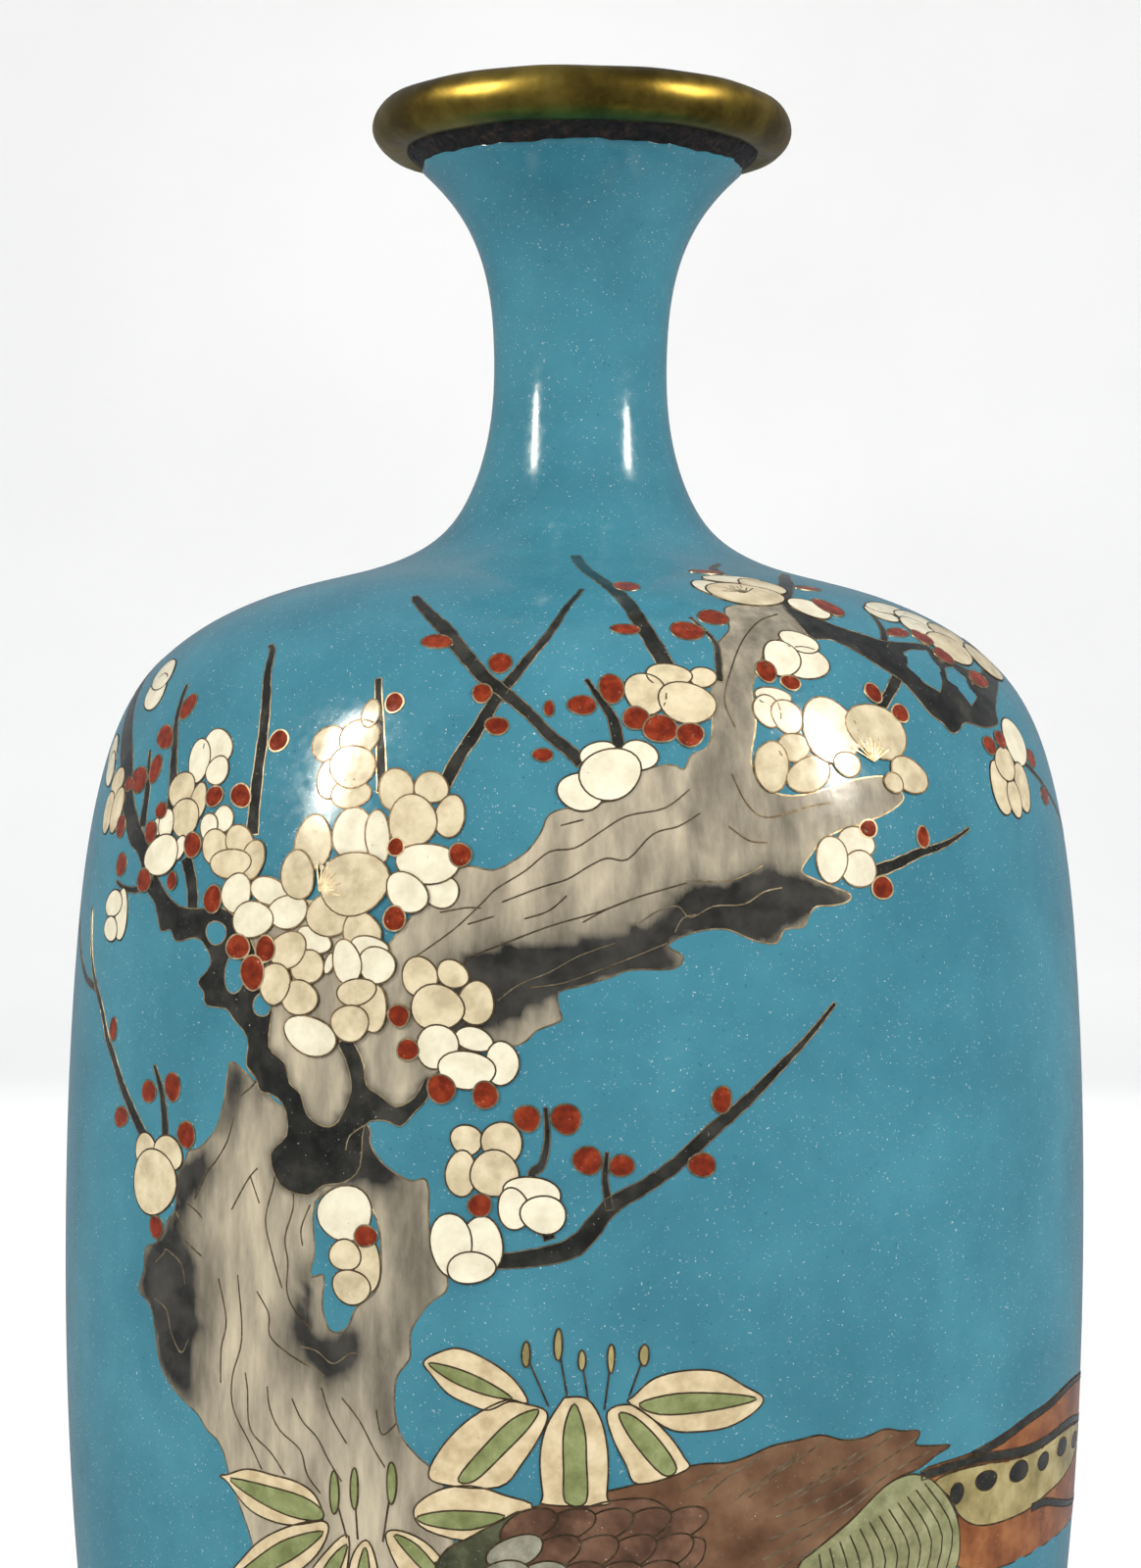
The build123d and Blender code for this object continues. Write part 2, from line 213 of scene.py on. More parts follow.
def metal(name, dark, plain, bright, rough, scale=160.0, depth=0.00012):
    """Worn metal: tarnish in patches, fine scratches and small dents."""
    material, tree, shader = tree_of(name)
    patches = ramp(tree, noise(tree, scale, 8.0, 0.65), [(0.36, dark), (0.52, plain), (0.68, bright)])
    tree.links.new(patches, shader.inputs["Base Color"])
    tree.links.new(grey(tree, noise(tree, scale * 3, 6.0), 0.3, 0.7, *rough), shader.inputs["Roughness"])
    bump(tree, shader, noise(tree, scale * 4, 8.0, 0.6), 0.3, depth)
    shader.inputs["Metallic"].default_value = 1.0
    return material


FIBRE_PULL = 0.6  # how far the bark's fibre breaks up the edge of a shadow


def bark(name, light, dark):
    """Bark enamel that the maker blended from pale grey to black, by the mesh's own share."""
    material, tree, shader = tree_of(name)
    share = tree.nodes.new("ShaderNodeAttribute")
    share.attribute_name = "shadow"
    fibre = noise(tree, 420.0, 6.0, 0.65, 3.5)
    edge = tree.nodes.new("ShaderNodeMath")
    edge.operation = "MULTIPLY_ADD"
    edge.inputs[1].default_value = FIBRE_PULL
    tree.links.new(fibre, edge.inputs[0])
    tree.links.new(share.outputs["Fac"], edge.inputs[2])
    mix = grey(tree, edge.outputs["Value"], 0.4, 1.15, 0.0, 1.0)
    pale = ramp(tree, noise(tree, 330.0, 5.0, 0.6, 4.0),
                [(0.34, light[0]), (0.5, light[1]), (0.68, light[2])])
    deep = ramp(tree, noise(tree, 240.0, 5.0, 0.6), [(0.35, dark[0]), (0.7, dark[1])])
    tree.links.new(blend(tree, mix, pale, deep), shader.inputs["Base Color"])
    polish(tree, shader, (0.12, 0.26))
    return material


def scorch_and_shade(name, dark, plain, bright):
    """Scorched metal and glass at the mouth, darkened nearly to black as painted shade under the roll:
    rough, dark and reddish brown.
    """
    material, tree, shader = tree_of(name)
    colour = ramp(tree, noise(tree, 900.0, 8.0, 0.7), [(0.38, dark), (0.52, plain), (0.7, bright)])
    tree.links.new(colour, shader.inputs["Base Color"])
    tree.links.new(grey(tree, noise(tree, 1400.0, 6.0), 0.3, 0.7, 0.35, 0.8), shader.inputs["Roughness"])
    bump(tree, shader, noise(tree, 1200.0, 8.0, 0.7), 0.9, 0.0004)
    return material


MATERIALS = {
    "turquoise": enamel(
        "turquoise_enamel", (0.03, 0.137, 0.195), (0.036, 0.156, 0.218), (0.044, 0.178, 0.243), 70.0,
        (0.1, 0.22), 0.66,
    ),
    "inside": enamel("counter_enamel", (0.03, 0.12, 0.15), (0.045, 0.16, 0.19), (0.07, 0.2, 0.24), 300.0,
                     (0.3, 0.5)),
    "white": enamel("white_enamel", (0.52, 0.48, 0.37), (0.59, 0.55, 0.44), (0.65, 0.62, 0.5)),
    "cream": enamel("cream_enamel", (0.38, 0.32, 0.21), (0.48, 0.41, 0.28), (0.57, 0.5, 0.36)),
    "red": enamel("bud_red_enamel", (0.085, 0.01, 0.003), (0.145, 0.017, 0.004), (0.23, 0.032, 0.008),
                  900.0),
    "bark": bark(
        "bark_enamel", [(0.19, 0.165, 0.125), (0.29, 0.255, 0.195), (0.42, 0.37, 0.28)],
        [(0.012, 0.012, 0.011), (0.05, 0.047, 0.042)],
    ),
    "black": enamel("black_enamel", (0.006, 0.006, 0.005), (0.015, 0.015, 0.013), (0.035, 0.033, 0.028),
                    300.0),
    "leaf": enamel("leaf_enamel", (0.38, 0.3, 0.18), (0.48, 0.39, 0.25), (0.57, 0.48, 0.33)),
    "green": enamel("green_enamel", (0.115, 0.135, 0.05), (0.165, 0.19, 0.078), (0.225, 0.255, 0.115)),
    "sage": enamel("sage_enamel", (0.13, 0.135, 0.065), (0.185, 0.19, 0.098), (0.25, 0.255, 0.145)),
    "forest": enamel("dark_green_enamel", (0.02, 0.024, 0.013), (0.048, 0.052, 0.028), (0.1, 0.105, 0.06),
                     260.0),
    "brown": enamel("wing_brown_enamel", (0.06, 0.028, 0.013), (0.11, 0.055, 0.029), (0.175, 0.1, 0.056),
                    150.0),
    "umber": enamel("dark_brown_enamel", (0.04, 0.02, 0.012), (0.085, 0.042, 0.025), (0.15, 0.08, 0.05),
                    300.0),
    "dove": enamel("grey_feather_enamel", (0.12, 0.115, 0.085), (0.19, 0.185, 0.145), (0.28, 0.27, 0.22)),
    "olive": enamel("olive_enamel", (0.15, 0.125, 0.05), (0.25, 0.205, 0.09), (0.36, 0.31, 0.16), 200.0),
    "orange": enamel("orange_enamel", (0.1, 0.031, 0.009), (0.17, 0.058, 0.019), (0.25, 0.1, 0.036), 240.0),
    "fine_wire": metal(
        "fine_wire", (0.09, 0.06, 0.035), (0.17, 0.12, 0.07), (0.3, 0.22, 0.13), (0.4, 0.6), 900.0, 0.00002,
    ),
    "gold_wire": metal(
        "gold_wire", (0.26, 0.19, 0.11), (0.46, 0.36, 0.22), (0.68, 0.57, 0.39), (0.3, 0.5), 900.0, 0.00002,
    ),
    "brass": metal(
        "aged_brass", (0.15, 0.1, 0.018), (0.34, 0.235, 0.045), (0.5, 0.36, 0.085), (0.28, 0.44), 90.0,
        0.00003,
    ),
    "copper": metal("oxidised_copper", (0.09, 0.038, 0.022), (0.18, 0.085, 0.05), (0.3, 0.155, 0.095),
                    (0.4, 0.65)),
    "solder": metal("dull_solder", (0.12, 0.1, 0.09), (0.25, 0.22, 0.2), (0.4, 0.37, 0.33), (0.4, 0.6)),
    # the scorch's colours, darkened nearly to black as painted shade under the roll
    "scorch_and_shade": scorch_and_shade("scorch_and_painted_shade", (0.004, 0.003, 0.003), (0.016, 0.008, 0.006), (0.07, 0.03, 0.017)),
}


def finish_piece(name, verts, faces, normals, kind, shadow=None):
    """Make an object from lists; normals holds one vector per face corner, or zero for flat."""
    mesh = bpy.data.meshes.new(name)
    mesh.from_pydata([tuple(v) for v in verts], [], faces)
    mesh.polygons.foreach_set("use_smooth", [True] * len(faces))
    if normals is not None:
        mesh.normals_split_custom_set([tuple(n) for n in normals])
    if shadow:
        mesh.attributes.new("shadow", "FLOAT", "POINT").data.foreach_set("value", shadow)
    mesh.materials.append(MATERIALS[kind])
    piece = bpy.data.objects.new(name, mesh)
    bpy.context.scene.collection.objects.link(piece)
    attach(piece, "root")
    return piece


# ---------------------------------------------------------------- turned pieces
def lathe(name, rings, kind, segments=288):
    """A closed turned solid; each ring gives (radius, height) in mm at a turn."""
    verts, faces = [], []
    count = len(rings)
    for k in range(segments):
        turn = 2 * math.pi * k / segments
        for radius, height in (ring(turn) for ring in rings):
            verts.append((radius * math.sin(turn) * MM, -radius * math.cos(turn) * MM, height * MM))
    for k in range(segments):
        here, after = k * count, ((k + 1) % segments) * count
        for i in range(count):
            j = (i + 1) % count
            faces.append((here + i, after + i, after + j, here + j))
    return finish_piece(name, verts, faces, None, kind)


def steady(radius, height):
    """A ring that is the same all the way round."""
    return lambda turn: (radius, height)


def ragged(tape, depth, reach):
    """A ring of the wall whose tape reading wanders by a reach as it goes round."""
    def place(turn):
        wander = (
            math.sin(5 * turn + 1) + 0.8 * math.sin(11 * turn + 2) + 0.6 * math.sin(23 * turn)
            + 0.5 * math.sin(41 * turn + 4)
        )
        radius, height, out, up = wall(tape + reach * wander)
        return float(radius - out * depth), float(height - up * depth)
    return place


def wall_rings(tape_from, tape_to, depth, step):
    """Steady rings up one face of the wall."""
    count = max(2, round((tape_to - tape_from) / step))
    rings = []
    for i in range(count + 1):
        radius, height, out, up = wall(tape_from + (tape_to - tape_from) * i / count)
        rings.append(steady(float(radius - out * depth), float(height - up * depth)))
    return rings


foot_tape, top_tape = tape_at(FOOT_TOP), tape_at(COAT_TOP)
even_top = top_tape - 0.8  # above this the enamel's edge is ragged
EDGE_REACH = 0.12  # how far the ragged edge wanders
ground_rings = wall_rings(foot_tape, even_top, 0.0, 1.0)
ground_rings.append(ragged(top_tape, 0.0, EDGE_REACH))
ground_rings.append(ragged(top_tape + 0.2, COAT_DEPTH / 2, EDGE_REACH))
ground_rings.append(ragged(top_tape, COAT_DEPTH, EDGE_REACH))
ground_rings += wall_rings(foot_tape, even_top, COAT_DEPTH, 4.0)[::-1]
ground = lathe("turquoise_ground", ground_rings, "turquoise", 360)
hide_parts("ground_enamel")

# The mouth's brass roll, and the line under it: real reddish-brown scorch, darkened to near black as
# painted shade of the roll.
LIP_RADIUS = 21.1
LIP_SECTION = 3.0
ROLL_RINGS = 40
ROLL_INSET = 0.07  # keeps the dented roll within the CAD's rim
WIDE_DENT = 0.035
FINE_DENT = 0.03
mouth_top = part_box("mouth_rim")[1][2] / MM
LIP_HEIGHT = mouth_top - LIP_SECTION


def roll_ring(share):
    """One ring of the mouth's roll: a circle with the hammer's slight unevenness."""
    lean = 2 * math.pi * share

    def place(turn):
        dent = WIDE_DENT * math.sin(7 * turn + 3 * lean) + FINE_DENT * math.sin(13 * turn - 2 * lean)
        section = LIP_SECTION - ROLL_INSET + dent
        return LIP_RADIUS + section * math.cos(lean), LIP_HEIGHT + section * math.sin(lean)
    return place


mouth_roll = lathe("mouth_roll", [roll_ring(1 - i / ROLL_RINGS) for i in range(ROLL_RINGS)], "brass")
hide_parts("mouth_rim")

# Its section: tape above the enamel's top, depth in the wall, and how far it wanders.
COLLAR_SECTION = [
    (-1.6, 0.35, 0.12), (-0.4, 0.12, 0.2), (0.9, 0.3, 0.2), (2.2, 0.2, 0.15),
    (3.2, 0.6, 0.1), (3.2, 1.0, 0.1), (-1.6, 1.0, 0.1),
]
collar_rings = [ragged(top_tape + rise, depth, reach) for rise, depth, reach in COLLAR_SECTION]
# a dark band under the roll: part real scorch, part painted shade
collar = lathe("scorched_and_shaded_collar", collar_rings, "scorch_and_shade")
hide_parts("mouth_solder_seam")

foot_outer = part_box("foot_rim")[1][0] / MM
FOOT_INNER = 33.0
foot_section = [
    (FOOT_INNER + 0.5, 0.0), (foot_outer - 1.4, 0.0), (foot_outer - 0.6, 0.25), (foot_outer - 0.1, 0.9),
    (foot_outer - 0.02, 1.8), (foot_outer - 0.3, 2.4), (foot_outer - 0.3, 3.2), (foot_outer - 0.02, 3.9),
    (foot_outer - 0.02, 5.2), (foot_outer - 0.35, 5.85), (foot_outer - 1.7, FOOT_TOP),
    (FOOT_INNER + 0.4, FOOT_TOP), (FOOT_INNER, FOOT_TOP - 0.4), (FOOT_INNER, 0.5),
]
foot = lathe("foot_band", [steady(*point) for point in foot_section], "brass")
bevel = foot.modifiers.new("soften", "BEVEL")
bevel.width = 0.12 * MM
bevel.segments = 3
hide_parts("foot_rim")


# ---------------------------------------------------------------- cells and wires
def rounded(points, closed, per=4):
    """Extra points that turn a run of places into a smooth curve (Catmull-Rom)."""
    path = [np.array(point, float) for point in points]
    size = len(path)
    spans = size if closed else size - 1
    smooth = []
    for i in range(spans):
        if closed:
            p0, p1, p2, p3 = (path[(i + k) % size] for k in (-1, 0, 1, 2))
        else:
            p0, p1, p2, p3 = (path[min(max(i + k, 0), size - 1)] for k in (-1, 0, 1, 2))
        for k in range(per):
            u = k / per
            smooth.append(
                0.5 * (2 * p1 + (p2 - p0) * u + (2 * p0 - 5 * p1 + 4 * p2 - p3) * u * u
                       + (3 * p1 - p0 - 3 * p2 + p3) * u**3)
            )
    if not closed:
        smooth.append(path[-1])
    return smooth


OVAL_POINTS = 26
OVAL_SQUASH = 0.035  # how far hand-bent ovals are out of true, as shares of their size
OVAL_CORNER = 0.03


def oval(angle, tape, half_width, half_height, tilt=0.0):
    """Outline of a hand-bent oval cell, in degrees round and mm up."""
    wide = mm_per_degree(tape)
    lean = math.radians(tilt)
    phase = angle * 1.7 + tape
    outline = []
    for i in range(OVAL_POINTS):
        turn = 2 * math.pi * i / OVAL_POINTS
        swell = 1 + OVAL_SQUASH * math.sin(2 * turn + phase) + OVAL_CORNER * math.sin(3 * turn + 2 * phase)
        x = half_width * swell * math.cos(turn)
        y = half_height * swell * math.sin(turn)
        across = x * math.cos(lean) - y * math.sin(lean)
        outline.append((angle + across / wide, tape + x * math.sin(lean) + y * math.cos(lean)))
    return outline


BRANCH_KNOT = 0.07  # how far a branch swells and thins along its way, as a share of its width


def stroke(path, widths):
    """Outline of a tapering branch along a path of places."""
    line = rounded(path, False)
    count = len(line)
    left, right = [], []
    for i, (angle, tape) in enumerate(line):
        wide = mm_per_degree(tape)
        before, after = line[max(i - 1, 0)], line[min(i + 1, count - 1)]
        run_x, run_y = (after[0] - before[0]) * wide, after[1] - before[1]
        share = i / (count - 1) * (len(widths) - 1)
        half = np.interp(share, range(len(widths)), widths) / 2
        half *= 1 + BRANCH_KNOT * math.sin(i * 1.9 + angle)
        half /= math.hypot(run_x, run_y)
        left.append((angle - run_y * half / wide, tape + run_x * half))
        right.append((angle + run_y * half / wide, tape - run_x * half))
    return left + right[::-1]


class Sheet:
    """Cells or wires of one kind, gathered into one mesh."""

    def __init__(self):
        self.verts, self.faces, self.normals, self.shadow = [], [], [], []

    def add(self, points, normals, faces):
        """Add faces as (corners, side): side 1 or -1 of the wall, or 0 for a flat face."""
        start = len(self.verts)
        self.verts.extend(points)
        for face in faces:
            self.faces.append(tuple(start + i for i in face[0]))
            self.normals.extend((0, 0, 0) if face[1] == 0 else normals[i] * face[1] for i in face[0])


sheets = {}


RIM_SHADE = 0.55  # shadow on a patch's outline
CORE_SHADE = 0.45  # and how much is added further in
CORE_FROM = 1.5


def shadow_share(spots, patches):
    """How deep in shadow places are: 1 inside a patch, fading away outside it."""
    share = np.zeros(len(spots))
    for outline, fade, strength in patches:
        edge = np.array(rounded(outline, True, 3))
        after = np.roll(edge, -1, 0)
        x, y = spots[:, :1], spots[:, 1:]
        crosses = (edge[:, 1] > y) != (after[:, 1] > y)
        rise = np.where(after[:, 1] == edge[:, 1], 1e-9, after[:, 1] - edge[:, 1])
        crossing = (after[:, 0] - edge[:, 0]) * (y - edge[:, 1]) / rise + edge[:, 0]
        inside = (crosses & (x < crossing)).sum(1) % 2
        away = np.hypot(x - edge[:, 0], y - edge[:, 1]).min(1)
        core = RIM_SHADE + CORE_SHADE * np.minimum(away / CORE_FROM, 1)
        deep = np.where(inside, core, RIM_SHADE * np.exp(-away / fade))
        share = np.maximum(share, deep * strength)
    return share


def sheet(kind, name):
    """The sheet of a kind and name, made when it is first asked for."""
    return sheets.setdefault((kind, name), Sheet())


def fill(outline, kind, level, name):
    """Lay one closed cell of enamel, bent round the wall."""
    outline = np.array(outline, float)
    tape = outline[:, 1].mean()
    wide = mm_per_degree(tape)
    flat = outline * (wide, 1.0)
    low, high = flat.min(0), flat.max(0)
    grid = [
        (x, y)
        for x in np.arange(low[0] + GRID / 2, high[0], GRID)
        for y in np.arange(low[1] + GRID / 2, high[1], GRID)
        if np.min(np.hypot(flat[:, 0] - x, flat[:, 1] - y)) > GRID * GRID_MARGIN
    ]
    size = len(flat)
    edges = [(i, (i + 1) % size) for i in range(size)]
    places = [Vector(point) for point in list(map(tuple, flat)) + grid]
    verts, _, triangles, *_ = delaunay_2d_cdt(places, edges, [], 1, 1e-5)
    used = sorted({i for triangle in triangles for i in triangle})
    index = {old: new for new, old in enumerate(used)}
    triangles = [tuple(index[i] for i in triangle) for triangle in triangles]
    spots = np.array([verts[i] for i in used])
    lift = level * LEVEL
    top, normals = on_wall(spots[:, 0] / wide, spots[:, 1], lift)
    bottom, _ = on_wall(spots[:, 0] / wide, spots[:, 1], lift - CELL_DEPTH)
    count = len(used)
    border = {}
    for a, b, c in triangles:
        for edge in ((a, b), (b, c), (c, a)):
            border[edge] = True
    rim = [(a, b) for a, b in border if (b, a) not in border]
    faces = [(triangle, 1) for triangle in triangles]
    faces += [(tuple(count + i for i in triangle[::-1]), -1) for triangle in triangles]
    faces += [((b, a, count + a, count + b), 0) for a, b in rim]
    own = sheet(kind, name)
    own.add(list(top) + list(bottom), np.vstack([normals, normals]), faces)
    if kind == "bark":
        own.shadow.extend(np.tile(shadow_share(spots / (wide, 1.0), SHADOWS), 2))


def wire(path, closed, level, kind, name, width=WIRE_WIDTH):
    """A flat wire standing on edge along a path, its top a hair above the cells."""
    line = np.array(path, float)
    if closed:
        before, after = np.roll(line, 1, 0), np.roll(line, -1, 0)
    else:
        before, after = np.vstack([line[:1], line[:-1]]), np.vstack([line[1:], line[-1:]])
    wide = wall(line[:, 1])[0] * math.pi / 180
    run = (after - before) * np.stack([wide, np.ones(len(line))], -1)
    run /= np.maximum(np.linalg.norm(run, axis=1), 1e-6)[:, None]
    side = np.stack([-run[:, 1] / wide, run[:, 0]], -1) * width / 2
    lift = (level + WIRE_RISE) * LEVEL
    rows = []
    for offset, height in ((side, lift), (-side, lift), (-side, lift - CELL_DEPTH),
                           (side, lift - CELL_DEPTH)):
        rows.append(on_wall(line[:, 0] + offset[:, 0], line[:, 1] + offset[:, 1], height))
    count = len(line)
    points = np.vstack([row[0] for row in rows])
    normals = np.vstack([row[1] for row in rows])
    faces = []
    for i in range(count if closed else count - 1):
        j = (i + 1) % count
        for k in range(4):
            a, b = k * count, ((k + 1) % 4) * count
            faces.append(((a + i, b + i, b + j, a + j), 1 if k == 0 else 0))
    if not closed:
        faces.append(((0, 3 * count, 2 * count, count), 0))
        faces.append(((count - 1, 2 * count - 1, 3 * count - 1, 4 * count - 1), 0))
    sheet(kind, name).add(list(points), normals, faces)


def cell(outline, kind, level, name, wire_kind="fine_wire", width=WIRE_WIDTH):
    """One cell with its wire."""
    fill(outline, kind, level, name)
    wire(outline, True, level + OUTLINE_RISE, wire_kind, name + "_cloisons", width)


# ---------------------------------------------------------------- the design
# Places are (angle round from the front in degrees, tape reading from the girth in mm).
TRUNK = [
    (-36.8, 21.4), (-37.8, 20.5), (-38.2, 17.6), (-39.1, 14.9), (-40.3, 13.5), (-41.8, 12.4),
    (-43.2, 12.1), (-43.7, 11.1), (-45, 9.4), (-45.1, 7), (-45.3, 5.7), (-46.5, 4.6), (-47.2, 3.2),
    (-48.8, 2), (-50.3, 1.4), (-50.6, -0.9), (-51.6, -3), (-50.1, -3.9), (-49, -4.9), (-48.4, -7.1),
    (-47.8, -9.8), (-46.5, -11.5), (-45, -12.7), (-43.2, -13.7), (-41.5, -14.6), (-40.3, -15.9),
    (-38.8, -16.8), (-37.9, -18), (-37.4, -19.5), (-35.9, -23), (-34.4, -26.5), (-33.4, -32),
    (-35, -38), (-38.5, -44), (-43, -50), (-46, -56), (-38, -58), (-30, -57), (-20, -58), (-10, -57),
    (-3, -56), (-6, -50), (-9, -44), (-11, -37), (-11.5, -30), (-11.8, -24), (-12.9, -18.3),
    (-14.1, -17.1), (-15.3, -16.2), (-16.9, -14.5), (-17.6, -12.7), (-17.8, -10.6), (-17.5, -8.3),
    (-16.2, -6.5), (-16.2, -4.2), (-15.3, -2.4), (-14.1, -0.9), (-12.6, 0.2), (-12.5, 1.7),
    (-13.1, 2.9), (-14, 4.4), (-14.4, 7.3), (-14.4, 9.9), (-14.9, 11.1), (-16.2, 10.8),
    (-18.2, 11.7), (-19.7, 12.9), (-20.6, 14.4), (-20.7, 15.8), (-23, 17.5), (-27, 17), (-31, 17.5),
]
ARM = [
    (-22.8, 24.3), (-22.4, 22.6), (-21.1, 20), (-19.5, 19), (-17.9, 18), (-16, 19), (-14.8, 20.6),
    (-11, 23.4), (-5.7, 24.3), (-4, 25.7), (-2, 26.5), (-1.5, 27), (-1.8, 28), (-1.8, 29.5), (0.7, 30.2),
    (3.3, 31), (5.3, 31.7), (9.5, 31.8), (10.5, 33), (9, 34), (10.5, 35), (13, 35.6), (15.2, 35.6),
    (17.4, 34.7), (19.4, 34.2), (20.5, 34.4), (21.3, 35.6), (23.3, 35.8), (24, 36.9), (24.9, 37.8),
    (26.9, 37.9), (28.7, 38.3), (29, 39), (27.2, 39.7), (24.7, 40.6), (23.4, 41.4), (24.7, 43.1),
    (25.8, 44.2), (28, 45.3), (30.2, 45.8), (32.2, 46.4), (34.7, 47.2), (36.9, 48.3), (37.2, 49.2),
    (35.2, 50.3), (34.7, 51), (30.8, 50.6), (27.4, 49.7), (23, 48.9), (19.9, 49.7), (18.7, 51.7),
    (18.8, 53.6), (19.7, 56.4), (19.9, 60), (21.1, 62.2), (22.4, 64.2), (23.6, 65.6), (25.2, 66.7),
    (27.4, 67.8), (29.7, 68.1), (31.1, 68.1), (33.4, 71.4), (32.2, 75.8), (30.2, 75.6), (27.2, 74),
    (23.6, 73.8), (21.3, 73.1), (20.5, 71.4), (19.9, 68.9), (18.6, 67.5), (17.3, 66.1), (16.6, 63.4),
    (15.1, 60.3), (14.6, 56), (13.8, 53.8), (12, 53), (11.1, 51.5), (9.7, 52), (6.3, 51.3), (5, 50),
    (2.9, 48.2), (-1.8, 47.4), (-3.2, 46.6), (-3.7, 45.3), (-5, 43.4), (-6.8, 42.1), (-8.7, 41.3),
    (-11.8, 41.6), (-15, 38.6), (-18.6, 34.6), (-21.4, 30),
]
ARM_SHADE = [
    (-12, 24.6), (-8, 26.2), (-2, 29), (3.3, 31), (9.5, 31.8), (9, 34), (13, 35.6), (19.4, 34.2),
    (21.3, 35.6), (24, 36.9), (28.7, 38.3), (24.7, 40.6), (23, 41), (19.1, 41.7), (14.9, 40.3),
    (10.8, 39.7), (8, 36.7), (3, 35), (-3, 34), (-10, 33), (-15, 29.5),
]
TRUNK_SHADE = [
    (-41.2, 12), (-40, 10.5), (-40.9, 9.1), (-41.8, 7.6), (-43.2, 6.7), (-44.1, 4.4), (-43.8, 2.6),
    (-42, 0.8), (-41.8, -3), (-40.9, -5.7), (-42, -7.4), (-42.4, -10.4), (-43.2, -12.7), (-46, -11.6),
    (-47.6, -9.8), (-48.2, -7.1), (-49.4, -4.4), (-51.2, -3), (-50.3, -0.9), (-50.1, 1.2),
    (-47.2, 3), (-45.3, 5.6), (-44.9, 9.2), (-43.4, 11.2),
]
HOLE_SHADE = [
    (-27.4, 1.6), (-26.8, -4), (-25, -5.4), (-22.8, -3.9), (-21.4, -5.7), (-22.4, -7.7), (-23.5, -8.7),
    (-25, -9), (-27.4, -7.7), (-28.5, -6), (-29.1, -4.5), (-28.8, -3),
]
FORK_SHADE = [
    (13, 42), (18, 42), (22, 43), (30, 46), (36, 48.5), (34, 50.5), (24, 49), (19.5, 51), (20, 58),
    (24, 65), (30, 69),
    (31, 75), (24, 73.5), (20, 70), (16.5, 63), (14, 54), (11, 50),
]
BROW_SHADE = [
    (-21, 15.5), (-18.2, 11.9), (-14.5, 11), (-14, 7), (-12.5, 1.5), (-15, -2.5), (-16, -6), (-17.6, -10),
    (-17, -15), (-20, -14), (-20.5, -8), (-21, -5.4), (-19, -1), (-18.8, 3), (-18.8, 7), (-20, 9.5),
    (-24, 11.4),
]
CROWN_SHADE = [(-38.5, 20.5), (-36.4, 21.8), (-34.5, 19.5), (-36, 16.5), (-38.4, 14), (-40, 13.6)]
JOIN_SHADE = [
    (-24, 15), (-20, 16.5), (-17.6, 12.6), (-17.4, 11), (-18.6, 10), (-20, 9.8), (-22, 10.5), (-25, 10.5),
]
# Bark seen between the dark branches, above their fork.
POCKET = [
    (-37.5, 35), (-34.4, 32.5), (-33.2, 28.4), (-33.4, 24), (-31.4, 21.4), (-29.6, 18.4), (-28, 16.2),
    (-25.6, 15),
    (-23.4, 15.8), (-22, 18.4), (-22.2, 21.4), (-22.6, 24), (-21, 28), (-20.6, 33), (-24, 37), (-30, 38),
    (-35, 37),
]
TRUNK_HOLE = [
    (-26.5, 8.2), (-23.2, 9.9), (-20.6, 8.2), (-19.6, 6.4), (-19.3, 4.4), (-19.3, 1.4), (-20, -0.4),
    (-21.8, -1.8), (-22.8, -3.9), (-24.1, -4.5), (-25, -3.9), (-25.6, -1.8), (-25.4, 1), (-26.8, 0.8),
    (-26.9, 1.7), (-26.5, 3.2),
]
DARK_LEFT = [
    (-100, 71), (-88, 69), (-75, 61), (-65, 54.2), (-62, 51), (-60, 48.2), (-57, 45.4), (-54.4, 43.4),
    (-51.6, 40.2), (-49.6, 38.4), (-46.6, 36.9), (-43, 36.8), (-40, 37), (-36.8, 35.4), (-34.4, 32),
    (-32.3, 28.4), (-32.3, 27), (-32.5, 23.3), (-30.5, 21.8), (-29.8, 19.8), (-28.5, 18.8), (-27.6, 16.7),
    (-25.6, 15.7), (-24.1, 16.3), (-22.9, 18.8), (-22.8, 20.4), (-23.5, 22.5), (-24.3, 24), (-22.8, 24.3),
    (-21.5, 22), (-21.1, 20), (-19.5, 19), (-17.9, 18), (-16, 19), (-14.8, 21), (-14.6, 19.1),
    (-15.9, 17.6), (-17.4, 16.1), (-19.1, 16.6), (-21.2, 16), (-21.6, 12), (-23.2, 10.4), (-25.6, 9.9),
    (-27.4, 8.8), (-30.6, 9.6), (-31.9, 12.6), (-30, 14.6), (-30.3, 17.3), (-31.8, 18.5), (-33.4, 18.8),
    (-34, 20), (-35.3, 21.3), (-35.3, 24), (-37.3, 25.8), (-38.5, 26.8), (-41.3, 27), (-41.8, 28.3),
    (-42.8, 29.3), (-41.5, 30.5), (-41, 31.5), (-41.8, 32.8), (-43.5, 33.8), (-46.8, 33.3), (-48, 34.5),
    (-49.8, 34.3), (-51.3, 37), (-53.5, 38.5), (-55, 40.8), (-56.5, 42.3), (-58.8, 43.3), (-62, 46.4),
    (-66, 50.6), (-75, 57.8), (-88, 66.4), (-100, 69.6),
]
DARK_RIGHT = [
    (32.2, 75.8), (34.4, 73), (36.9, 70.3), (41.3, 68.6), (44.5, 67.6), (53.3, 67.5), (53.6, 66.4),
    (57, 64.6), (62, 63.4), (67, 65), (78, 70), (79, 68.4), (68, 62.6), (63, 60.5), (60, 58.5), (59, 57),
    (55, 56.5), (51, 57), (49, 56), (47.4, 55.8), (46.3, 56.9), (44.7, 57.8), (43.6, 59.4), (41.9, 61.9),
    (39.9, 63.3), (37.2, 65.6), (34.4, 67.5), (31.1, 68.1),
]
